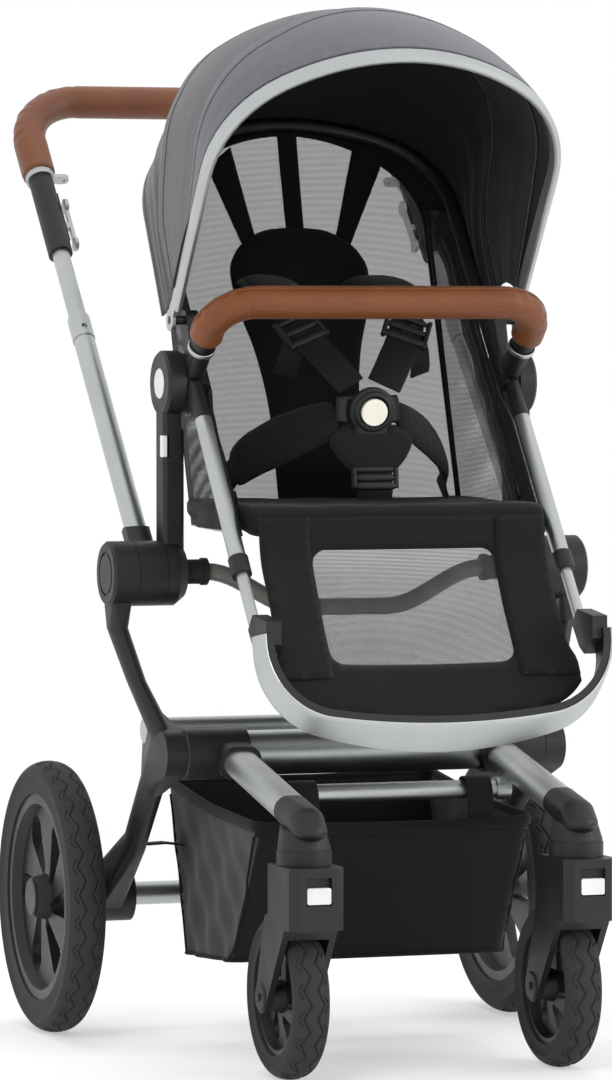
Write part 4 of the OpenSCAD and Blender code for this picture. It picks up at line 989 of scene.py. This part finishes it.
def slide_buckle(name, centre, along, face, width=0.047, length=0.030, thick=0.0075):
    """Plastic strap adjuster: a frame with two cross rungs and a lifted lip."""
    along = np.asarray(along, float) / np.linalg.norm(along)
    face = face - (face @ along) * along
    face /= np.linalg.norm(face)
    side = np.cross(along, face)
    made = []
    for k, (a0, w, t, lift) in enumerate(((-0.5, width, 0.8, 0.0), (0.0, width, 1.0, 0.15),
                                          (0.5, width * 1.04, 1.1, 0.5))):
        c = centre + along * a0 * length + face * lift * thick * 0.4
        path = c + np.linspace(-0.5, 0.5, 14)[:, None] * side * w
        ends = np.sqrt(np.clip(1 - np.abs(np.linspace(-1, 1, 14)) ** 6, 0.05, 1))
        made.append((path, pad_section(14, 3.5) * [0.0042 * t, thick / 2 * t], ends))
    for s in (-1, 1):
        path = centre + side * s * width * 0.5 + np.linspace(-0.62, 0.62, 12)[:, None] * along * length
        made.append((path, pad_section(14, 3.5) * [0.0028, thick / 2], np.ones(12)))
    for k, (path, sec, ends) in enumerate(made):
        bar_obj = sweep("%s_%d" % (name, k), path, sec, M["black_soft"], face, scale=ends)
        finish_piece(bar_obj, "seat", None)


def make_harness():
    face = np.array([0.0, -0.8, 0.6])
    for s, word in ((-1, "left"), (1, "right")):
        x = lambda q, k=s: np.asarray(q, float) * [k, 1, 1]
        obj, edges = pad("shoulder_pad_" + word, [x(q) for q in (
            (0.060, 0.044, 0.8400), (0.063, 0.010, 0.8435), (0.067, -0.038, 0.8370),
            (0.0695, -0.074, 0.8210),
            (0.070, -0.098, 0.8030))], (0, -0.5, 0.85), [0.046, 0.050, 0.058, 0.062, 0.060],
            [0.012, 0.015, 0.016, 0.014],
            M["dark"], node="harness" if s > 0 else None, ends=(0.1, 0.75))
        for k, e in enumerate(edges):
            binding("shoulder_piping_%s_%d" % (word, k), e, M["webbing"], r=0.0016)
        webbing("shoulder_strap_" + word, [x(q) for q in (
            (0.0695, -0.086, 0.8100), (0.066, -0.102, 0.7975), (0.056, -0.118, 0.7800),
            (0.036, -0.140, 0.7520),
            (0.019, -0.156, 0.7290))], face, 0.038)
        webbing("shoulder_strap_end_" + word, [x(q) for q in (
            (0.0600, -0.1125, 0.7905), (0.0700, -0.1190, 0.7760), (0.0760, -0.1150, 0.7560),
            (0.0790, -0.1060, 0.7400))],
            face, 0.026, thick=0.0018)
        slide_buckle("shoulder_adjuster_" + word, x((0.0615, -0.1115, 0.7900)), x((-0.42, -0.55, -0.72)),
                     face)
        obj, edges = pad("waist_pad_" + word, [x(q) for q in (
            (0.124, -0.058, 0.632), (0.112, -0.082, 0.650), (0.088, -0.112, 0.668), (0.058, -0.138, 0.684),
            (0.034, -0.152, 0.694))], (0.3 * s, -0.75, 0.55), [0.044, 0.058, 0.062, 0.056, 0.044],
            [0.010, 0.015, 0.016, 0.013], M["dark"], ends=(0.5, 0.3))
        for k, e in enumerate(edges):
            binding("waist_piping_%s_%d" % (word, k), e, M["webbing"], r=0.0016)
        webbing("waist_strap_" + word, [x(q) for q in (
            (0.132, -0.036, 0.6070), (0.130, -0.048, 0.6180), (0.122, -0.062, 0.6350),
            (0.108, -0.087, 0.6530))],
            (0.5 * s, -0.6, 0.6), 0.036)
        # tongue that plugs into the buckle
        tongue = sweep("buckle_tongue_" + word,
                       np.array([x((0.036, -0.1535, 0.7035)), x((0.019, -0.1600, 0.7030))]),
                       pad_section(16, 4.0) * [0.015, 0.0028], M["black"], (0, -1, 0.1))
        finish_piece(tongue, "seat", None)
    _, edges = pad("crotch_pad", [(0.0, -0.1600, 0.6880), (0.0, -0.1660, 0.6720), (0.0, -0.1700, 0.6530),
                                    (0.0, -0.1745, 0.6330)], (0, -1, 0.1), [0.070, 0.100, 0.078, 0.048],
                     [0.012, 0.016, 0.014, 0.010], M["dark"], ends=(0.35, 0.25))
    for k, e in enumerate(edges):
        binding("crotch_piping_%d" % k, e, M["webbing"], r=0.0016)
    webbing("crotch_strap", [(0.0, -0.1760, 0.6420), (0.0, -0.1800, 0.6280), (0.0, -0.1815, 0.6150),
                             (0.0, -0.1780, 0.6060)], (0, -1, 0.1), 0.040)
    slide_buckle("crotch_adjuster", np.array([0.0, -0.1800, 0.6290]), (0, -0.1, -1),
                 np.array([0, -1.0, 0.1]), 0.048, 0.018)


def make_buckle():
    """Round buckle: stepped rings round the button, with a lower skirt that has a pale edge."""
    axis = np.array([0.0, -math.cos(math.radians(10)), -math.sin(math.radians(10))])
    r = np.array([[0.0, 0.0], [0.0245, 0.0], [0.0262, 0.0016], [0.0262, 0.0072], [0.0250, 0.0086],
                  [0.0228, 0.0090],
                  [0.0222, 0.0106], [0.0205, 0.0122], [0.0182, 0.0126], [0.0172, 0.0120], [0.0168, 0.0060],
                  [0.0160, 0.0046], [0.0, 0.0046]])
    obj = lathe("buckle_body", r, M["black_soft"], BUCKLE, axis, 72, 40)
    finish_piece(obj, "seat", "buckle")
    low = np.array([0, 0.17, -0.98])
    c = BUCKLE + axis * 0.005
    skirt = sweep("buckle_skirt", c + np.linspace(0.012, 0.034, 14)[:, None] * low,
                  pad_section(24, 4.5) * [0.021, 0.0052],
                  M["black"], axis,
                  scale=np.c_[np.linspace(1.0, 0.82, 14), np.sqrt(np.linspace(1, 0.55, 14))])
    finish_piece(skirt, "seat", None)
    edge = sweep("buckle_edge", c + low * 0.034 + np.linspace(-0.0145, 0.0145, 20)[:, None] * [1, 0, 0],
                 round_section(0.0014, 10), M["bright"], axis)
    finish_piece(edge, "seat", None)


make_harness()
make_buckle()


# ---------------------------------------------------------------- leather
def bent_bar(half, straight, bend_r, rise, n):
    """A bar's centreline in its own plane, as [x, up]: two legs from straight, two bends, the crossing."""
    a = np.linspace(0, math.pi / 2, 60)
    right = np.c_[half - bend_r + bend_r * np.cos(a), rise - bend_r + bend_r * np.sin(a)]
    line = np.vstack([[[half, straight]], right, (right * [-1, 1])[::-1], [[-half, straight]]])
    return resample(line, n)


def leather_bar(name, line, centre, u_dir, out_dir, r, mat, body, node, n=260, m=48):
    """A leather tube round a centreline in the plane of X and u_dir. Its UVs are metres from the middle and
    metres round from the outer side. It creases across the inner side of each bend, and its ends turn in."""
    u_dir, out_dir = np.asarray(u_dir, float), np.asarray(out_dir, float)
    line = resample(line, n)
    path = centre + line[:, :1] * [1.0, 0, 0] + line[:, 1:] * u_dir
    t = np.gradient(path, axis=0)
    t /= np.linalg.norm(t, axis=1)[:, None]
    inward = np.cross(t, out_dir)
    turn = np.linalg.norm(np.gradient(t, axis=0), axis=1)
    turn = turn / turn.max()
    total = np.linalg.norm(np.diff(path, axis=0), axis=1).sum()
    u = np.linspace(-total / 2, total / 2, n)
    ang = np.linspace(-math.pi, math.pi, m, endpoint=False)
    rng = np.random.default_rng(int(total * 1e4))
    crease = sum(np.sin(u[:, None] * f + rng.uniform(0, 6) + 0.7 * np.sin(2 * ang[None] + k)) / (k + 1)
                 for k, f in enumerate((430.0, 610.0, 290.0)))
    middle = np.clip(np.cos(ang - math.pi / 2), 0, 1)[None] ** 1.5
    radius = r + 0.0005 * crease * turn[:, None] * middle - 0.0004 * turn[:, None]
    end = np.minimum(u - u[0], u[-1] - u)[:, None]
    radius = radius * (1 - 0.10 * np.clip(1 - end / 0.003, 0, 1) ** 2)
    p = path[:, None] + radius[..., None] * (np.cos(ang)[None, :, None] * out_dir
                                             + np.sin(ang)[None, :, None] * inward[:, None])
    uv = np.stack(np.broadcast_arrays(u[:, None], r * ang[None]), -1)
    obj = surface(name, p, mat, closed_v=True, ends=True, uv=uv)
    mesh = obj.data
    mid = np.array([f.center for f in mesh.polygons])
    normal = np.array([f.normal for f in mesh.polygons])
    near = path[np.argmin(((mid[::37, None] - path[None]) ** 2).sum(2), 1)]
    if ((mid[::37] - near) * normal[::37]).sum() < 0:
        mesh.flip_normals()
    finish_piece(obj, body, node)
    return path, inward, out_dir


def make_leather():
    half = 0.1855
    line = bent_bar(half, 0.020, 0.045, 0.078, 300)
    lean = math.radians(50)
    up = np.array([0, -math.sin(lean), math.cos(lean)])
    out = np.array([0, -math.cos(lean), -math.sin(lean)])
    foot = np.array([0.0, -0.140, 0.769])
    path, inward, _ = leather_bar("bumper_leather", line, foot, up, out, 0.018, M["bar"], "bumper",
                                  "bumper_grip")
    seam_dir = -out * 0.35 + inward * 0.94
    seam_dir /= np.linalg.norm(seam_dir, axis=1)[:, None]
    seam = path + seam_dir * 0.0178
    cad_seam(seam[4:-4], seam_dir[4:-4], "bumper", "bumper", M["bar_seam"])

    for side, word in ((-1, "left"), (1, "right")):
        collar = np.array([[0.0142, -0.0013], [0.0149, -0.0008], [0.0152, 0.0004], [0.0152, 0.0036],
                           [0.0149, 0.0046], [0.0142, 0.0051]])
        ring = lathe("bumper_ring_" + word, collar, M["bright"], foot + [side * half, 0, 0], up, 72, 50)
        finish_piece(ring, "bumper", None)

    line = bent_bar(0.228, 0.604, 0.070, 0.726, 340)
    up = np.array([0, math.cos(PUSH_LEAN), math.sin(PUSH_LEAN)])
    out = np.array([0, -math.sin(PUSH_LEAN), math.cos(PUSH_LEAN)])
    path, inward, _ = leather_bar("push_leather", line, HUB, up, out, 0.019, M["grip"], "push_top",
                                  "push_grip",
                                  n=320)
    seam_dir = inward * 0.8 - out * 0.6
    seam_dir /= np.linalg.norm(seam_dir, axis=1)[:, None]
    seam = path + seam_dir * 0.0188
    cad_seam(seam[4:-4], seam_dir[4:-4], "push", "push_top", M["grip_seam"])


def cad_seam(path, normal, word, body, mat):
    """The closing seam of a leather bar: two rolled edges side by side and a row of stitches across them."""
    t = np.gradient(path, axis=0)
    t /= np.linalg.norm(t, axis=1)[:, None]
    side = np.cross(t, normal)
    for k, s in enumerate((-1, 1)):
        roll = sweep("%s_seam_%d" % (word, k), path + side * s * 0.0011, round_section(0.0011, 8), mat,
                     normal)
        finish_piece(roll, body, None)
    stitch_pitch = 0.0044
    n = 2 * int(np.linalg.norm(np.diff(path, axis=0), axis=1).sum() / stitch_pitch)
    p, q, w = resample(path, n), resample(side, n), resample(normal, n)
    flip = np.where(np.arange(n) % 2, 1.0, -1.0)[:, None]
    thread = resample(p + q * flip * 0.0021 + w * 0.0007, n * 5)
    stitch = sweep("%s_thread" % word, thread, round_section(0.0004, 6), M["thread"], resample(w, n * 5))
    finish_piece(stitch, body, None)


make_leather()


# ---------------------------------------------------------------- footrest
PANEL_SLOPE = math.radians(56.5)
PANEL_DOWN = np.array([0.0, -math.cos(PANEL_SLOPE), -math.sin(PANEL_SLOPE)])
PANEL_TOP = np.array([0.0, -0.257, 0.565])


PANEL_LINE = smooth_path([(-0.2470, 0.6068), (-0.2562, 0.6040), (-0.2642, 0.5950), (-0.2664, 0.5820),
                          (-0.2676, 0.5660), (-0.2720, 0.5470)]
                         + [tuple((PANEL_TOP + d * PANEL_DOWN)[1:])
                            for d in (0.040, 0.07, 0.11, 0.15, 0.19, 0.26)],
                         700)
PANEL_S = 0.26 - np.linspace(np.linalg.norm(np.diff(PANEL_LINE, axis=0), axis=1).sum(), 0, 700)
PANEL_STEP = np.gradient(PANEL_LINE, axis=0)
PANEL_FACE = PANEL_STEP[:, ::-1] / np.linalg.norm(PANEL_STEP, axis=1)[:, None] * [1, -1]


def on_panel(x, s, n=0.0):
    """Points of the footrest's panel: x across, s down from the seat's edge, n towards the child. It starts
    on top of the seat's front roll, then hangs back by 11 mm in the middle."""
    x, s = np.broadcast_arrays(np.asarray(x, float), np.asarray(s, float))
    give = 0.011 * np.clip(1 - (x / 0.162) ** 2, 0, 1) * np.sin(np.pi * np.clip(s / 0.235, 0, 1)) ** 0.8
    wave = 0.0010 * np.sin(52 * s + 9 * x) * np.sin(np.pi * np.clip(s / 0.2, 0, 1))
    y, z = (np.interp(s, PANEL_S, PANEL_LINE[:, k]) for k in (0, 1))
    ny, nz = (np.interp(s, PANEL_S, PANEL_FACE[:, k]) for k in (0, 1))
    off = n - give + wave
    return np.stack([x, y + off * ny, z + off * nz], -1)


def foot_curve(w, h1, h, rc, start, slope, inset, n=161):
    """An edge curve of the footrest's band, set in towards the loop's middle."""
    a = arch_line(w, h1, h, rc, n, inset)
    s = math.radians(slope)
    return np.c_[a[:, 0], start[0] - a[:, 1] * math.cos(s), start[1] - a[:, 1] * math.sin(s)]


def make_band():
    """The footrest's wide silver band, with a slightly crowned face and round edges."""
    low = lambda d: foot_curve(0.1986, 0.023, 0.106, 0.090, (-0.346, 0.468), 73, d)
    high = lambda d: foot_curve(0.196, 0.008, 0.092, 0.084, (-0.383, 0.474), 80, d)
    rows = []
    for t, d in ((0.03, 0.0004), (0.12, -0.0001), (0.3, -0.0005), (0.5, -0.0007), (0.7, -0.0005),
                 (0.88, -0.0001),
                 (0.97, 0.0004), (1.0, 0.0014), (0.99, 0.0026), (0.95, 0.0034), (0.5, 0.0036),
                 (0.05, 0.0034),
                 (0.01, 0.0026), (0.0, 0.0014)):
        rows.append(low(d) * (1 - t) + high(d) * t)
    obj = surface("footrest_band", np.stack(rows, 1), M["bright"], closed_v=True, ends=True, sharp=50)
    finish_piece(obj, "footrest", "footrest_bar")


BAND_LINE = arch_line(0.196, 0.008, 0.092, 0.084, 200, 0.0058)[:100]
BAND_S = (0.091 + 0.985 * BAND_LINE[:, 1]) / 0.8339


def panel_width(s):
    """Half width of the panel, which follows the inside of the band at its lower corners."""
    side = 0.1625 + 0.0085 * np.clip((s - 0.122) / 0.030, 0, 1) ** 2
    return float(min(side, np.interp(s, BAND_S, BAND_LINE[:, 0])))


def hung(name, outline, n, mat, node=None, holes=(), thickness=0.0012, cell=0.010):
    """A cut of the panel, which bends from the seat to the footrest."""
    obj = patch(name, outline, lambda x, s: on_panel(x, s, n), mat, cell, 0.0, holes, flip=True)
    cloth(obj)
    obj.data.transform(obj.matrix_world)
    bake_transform(obj)
    if node:
        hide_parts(node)
    shell(obj, thickness, 0.0)
    return obj


def rounded_box(x, s0, s1, r, n=8):
    """A rectangle with rounded corners as [x, s]."""
    loop = soft_section(2 * x, s1 - s0, r, n)
    return loop + [0.0, (s0 + s1) / 2]


def make_panel():
    s = np.r_[np.linspace(-0.021, 0.12, 20), np.linspace(0.126, BAND_S[-1], 40)]
    w = np.array([panel_width(q) for q in s])
    outline = np.vstack([np.c_[w, s], np.c_[-w, s][::-1]])
    window = rounded_box(0.104, 0.014, 0.150, 0.016)
    hung("footrest_fabric", outline, 0.0, M["dark"], "footrest_panel", holes=[window])
    hung("footrest_window", rounded_box(0.108, 0.010, 0.154, 0.014), -0.0012, M["mesh"],
         thickness=0.0005,
         cell=0.013)
    for side, word in ((-1, "left"), (1, "right")):
        edge = np.array([[panel_width(q) - 0.0004, q] for q in np.linspace(-0.020, 0.172, 26)])
        inner = np.array([[0.1065, q] for q in np.linspace(0.168, -0.020, 24)])
        strip = np.vstack([edge, inner]) * [side, 1]
        hung("footrest_border_" + word, strip, 0.0025, M["dark"], cell=0.008)


make_band()
make_panel()


# ---------------------------------------------------------------- basket
BASKET_HALF = 0.1605
BASKET_FLOOR = np.array([[-0.165, 0.107], [0.008, 0.098]])     # front and rear edge, as [y, z]
BASKET_RIM = np.array([[-0.243, 0.258], [0.068, 0.285]])


def basket_ring(t, n=160):
    """One level of the basket, t from 0 at the floor to 1 at the rim: a rounded rectangle whose sides hang
    in a shallow curve with soft upright folds, as points round it."""
    front, rear = BASKET_FLOOR * (1 - t) + BASKET_RIM * t
    half = BASKET_HALF
    r = 0.012 + 0.006 * (1 - t)
    length = rear[0] - front[0]
    corners = soft_section(2 * half, length, r, 10)
    loop = resample(np.vstack([corners, corners[:1]]), n + 1)[:-1]
    y = loop[:, 1] + (front[0] + rear[0]) / 2
    k = (y - front[0]) / length
    z = front[1] + (rear[1] - front[1]) * k
    hang = math.sin(math.pi * t) ** 0.8
    on_side = np.clip((np.abs(loop[:, 0]) - half + 0.004) / 0.004, 0, 1)
    on_end = np.clip(1 - np.minimum(np.abs(y - front[0]), np.abs(y - rear[0])) / 0.004, 0, 1)
    fold = (0.0018 * np.sin(70 * y + 9 * t) + 0.0014 * np.sin(118 * y - 14 * t + 1)) * on_side
    x = loop[:, 0] - np.sign(loop[:, 0]) * on_side * (0.0045 * hang + 0.0022 - fold * (1.1 - t ** 3))
    bow = 1 - (loop[:, 0] / half) ** 2
    sway = 0.004 * hang * bow + 0.001 * np.sin(33 * loop[:, 0] + 6 * t) * hang
    y = y + np.where(y < (front[0] + rear[0]) / 2, 1, -1) * on_end * sway
    z = z - 0.006 * t ** 6 * (1 - np.abs(2 * k - 1)) * on_side - 0.004 * t ** 6 * on_end * bow
    return np.c_[x, y, z]


def squashed(obj, node=None):
    """A piece of the basket, hung on the chassis with a mesh of its own."""
    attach(obj, "chassis")
    if node:
        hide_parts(node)
    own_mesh(obj)
    return obj


def make_basket():
    levels = np.linspace(0, 1, 40)
    wall = np.array([basket_ring(t) for t in levels])
    floor = []
    centre = wall[0].mean(0)
    for k in np.linspace(0.02, 0.96, 14):
        floor.append(centre + (wall[0] - centre) * k)
    shape = np.concatenate([np.array(floor), wall])
    obj = surface("basket_fabric", shape, M["basket"], closed_v=True)
    obj.data.materials.append(M["basket_black"])
    mid = np.array([f.center for f in obj.data.polygons])
    normal = np.array([f.normal for f in obj.data.polygons])
    grey = (np.abs(normal[:, 0]) > 0.7)
    obj.data.polygons.foreach_set("material_index", np.where(grey, 0, 1).astype(np.int32))
    if ((mid - [0, -0.08, 0.2]) * normal).sum() < 0:
        obj.data.flip_normals()
    cloth(obj)
    shell(obj, 0.0018, -1.0)
    squashed(obj, "basket")
    rim = sweep("basket_rim", wall[-1] + [0, 0, 0.0005], pad_section(14, 3.0) * [0.0024, 0.0060],
                M["basket_black"],
                (0, 0, 1.0), closed=True)
    squashed(rim)
    foot = sweep("basket_piping", wall[0] * [1.003, 1, 1], round_section(0.0022, 8), M["basket_black"],
                 (0, 0, 1.0),
                 closed=True)
    squashed(foot)
    for sx in (-1, 1):
        for k, sy in enumerate((-1, 1)):
            rows = []
            for ring in wall:
                end_y = ring[:, 1].min() if sy < 0 else ring[:, 1].max()
                rows.append(ring[np.argmin(((ring[:, :2] - [sx * 0.2, end_y]) ** 2).sum(1))])
            edge = sweep("basket_corner_%s_%d" % ("left" if sx < 0 else "right", k),
                         smooth_path(rows[::4], 40),
                         round_section(0.0018, 8), M["basket_black"], (0, sy, 0.1))
            squashed(edge)
    for s, word in ((-1, "left"), (1, "right")):
        loop = smooth_path([(s * 0.100, -0.2375, 0.248), (s * 0.100, -0.2400, 0.270),
                            (s * 0.100, -0.2372, 0.292),
                            (s * 0.100, -0.2285, 0.3035), (s * 0.100, -0.2150, 0.3030),
                            (s * 0.100, -0.2060, 0.2915)], 40)
        strap = sweep("basket_loop_" + word, loop, soft_section(0.030, 0.002, 0.0009, 3), M["webbing"],
                      np.cross(np.gradient(loop, axis=0), [1.0, 0, 0]), sharp=50)
        finish_piece(strap, "front_frame", None)
        tab = sweep("basket_tab_" + word, np.array([(s * 0.157, 0.012, 0.2175), (s * 0.180, 0.012, 0.2205),
                                                   (s * 0.2016, 0.012, 0.2195)]),
                    soft_section(0.020, 0.0022, 0.001, 3), M["webbing"], (0, 0, 1.0), sharp=50)
        squashed(tab)


make_basket()


# ---------------------------------------------------------------- floor, light and camera
def studio():
    """A white sweep that keeps the stroller's shadow, three large soft lamps, and the camera."""
    scene = bpy.context.scene
    size = 30.0
    t = Tree("studio_floor")
    far = t.add("VectorMath", {0: t.object_coords()}, operation="LENGTH").outputs["Value"]
    near = t.add("BsdfDiffuse", {"Color": (0.93, 0.93, 0.93, 1.0)})
    white = t.add("Emission", {"Color": (1.0, 1.0, 1.0, 1.0), "Strength": 1.0})
    path = t.add("LightPath").outputs
    seen = t.math("MAXIMUM", t.math("MAXIMUM", path["Is Camera Ray"], path["Is Glossy Ray"]),
                  path["Is Transmission Ray"])
    share = t.math("MULTIPLY", seen, t.ramp(far, 0.35, 1.5, 0.45, 1.0))
    mixed = t.add("MixShader", {0: share, 1: near.outputs[0], 2: white.outputs[0]})
    t.tree.links.new(mixed.outputs[0], t.out.inputs[0])
    corners = np.array([[-1, -1, 0], [1, -1, 0], [1, 1, 0], [-1, 1, 0]])
    floor = build("floor", corners * size,
                  [np.array([[0, 1, 2, 3]])], t.mat)

    world = bpy.data.worlds.new("studio")
    scene.world = world
    world.use_nodes = True
    nodes, links = world.node_tree.nodes, world.node_tree.links
    nodes.clear()
    out = nodes.new("ShaderNodeOutputWorld")
    seen, lit = (nodes.new("ShaderNodeBackground") for _ in range(2))
    mix = nodes.new("ShaderNodeMixShader")
    path = nodes.new("ShaderNodeLightPath")
    seen.inputs[0].default_value, seen.inputs[1].default_value = (1, 1, 1, 1), 1.0
    lit.inputs[0].default_value, lit.inputs[1].default_value = (1, 1, 1, 1), 0.75
    direct, shown = (nodes.new("ShaderNodeMath") for _ in range(2))
    direct.operation = shown.operation = "MAXIMUM"
    links.new(path.outputs["Is Camera Ray"], direct.inputs[0])
    links.new(path.outputs["Is Transmission Ray"], direct.inputs[1])
    links.new(direct.outputs[0], shown.inputs[0])
    links.new(path.outputs["Is Glossy Ray"], shown.inputs[1])
    links.new(shown.outputs[0], mix.inputs[0])
    links.new(lit.outputs[0], mix.inputs[1])
    links.new(seen.outputs[0], mix.inputs[2])
    links.new(mix.outputs[0], out.inputs[0])

    def lamp(name, place, target, width, height, watts, mirrored_in_metal):
        data = bpy.data.lights.new(name, "AREA")
        data.shape, data.size, data.size_y, data.energy = "RECTANGLE", width, height, watts
        obj = bpy.data.objects.new(name, data)
        obj.location = place
        from_to = np.asarray(target, float) - np.asarray(place, float)
        obj.rotation_euler = Vector(from_to).to_track_quat("-Z", "Y").to_euler()
        obj.visible_glossy = mirrored_in_metal
        scene.collection.objects.link(obj)

    lamp("key", (-3.2, -3.6, 3.2), (0, 0, 0.6), 2.4, 2.4, 120, False)
    lamp("fill", (3.4, -2.6, 1.8), (0, 0, 0.6), 2.0, 2.6, 60, True)
    lamp("top", (0.2, 0.8, 3.6), (0, 0, 0.6), 2.4, 2.4, 70, False)

    cam = bpy.data.cameras.new("camera")
    cam.lens, cam.sensor_width, cam.sensor_fit = 185.58, 36.0, "AUTO"
    cam.clip_start, cam.clip_end = 0.1, 100.0
    obj = bpy.data.objects.new("camera", cam)
    obj.location = (-2.0594, -5.8593, 0.8009)
    obj.rotation_euler = (math.radians(87.73), 0.0, math.radians(-19.22))
    scene.collection.objects.link(obj)
    scene.camera = obj
    scene.view_settings.view_transform = "Standard"


studio()
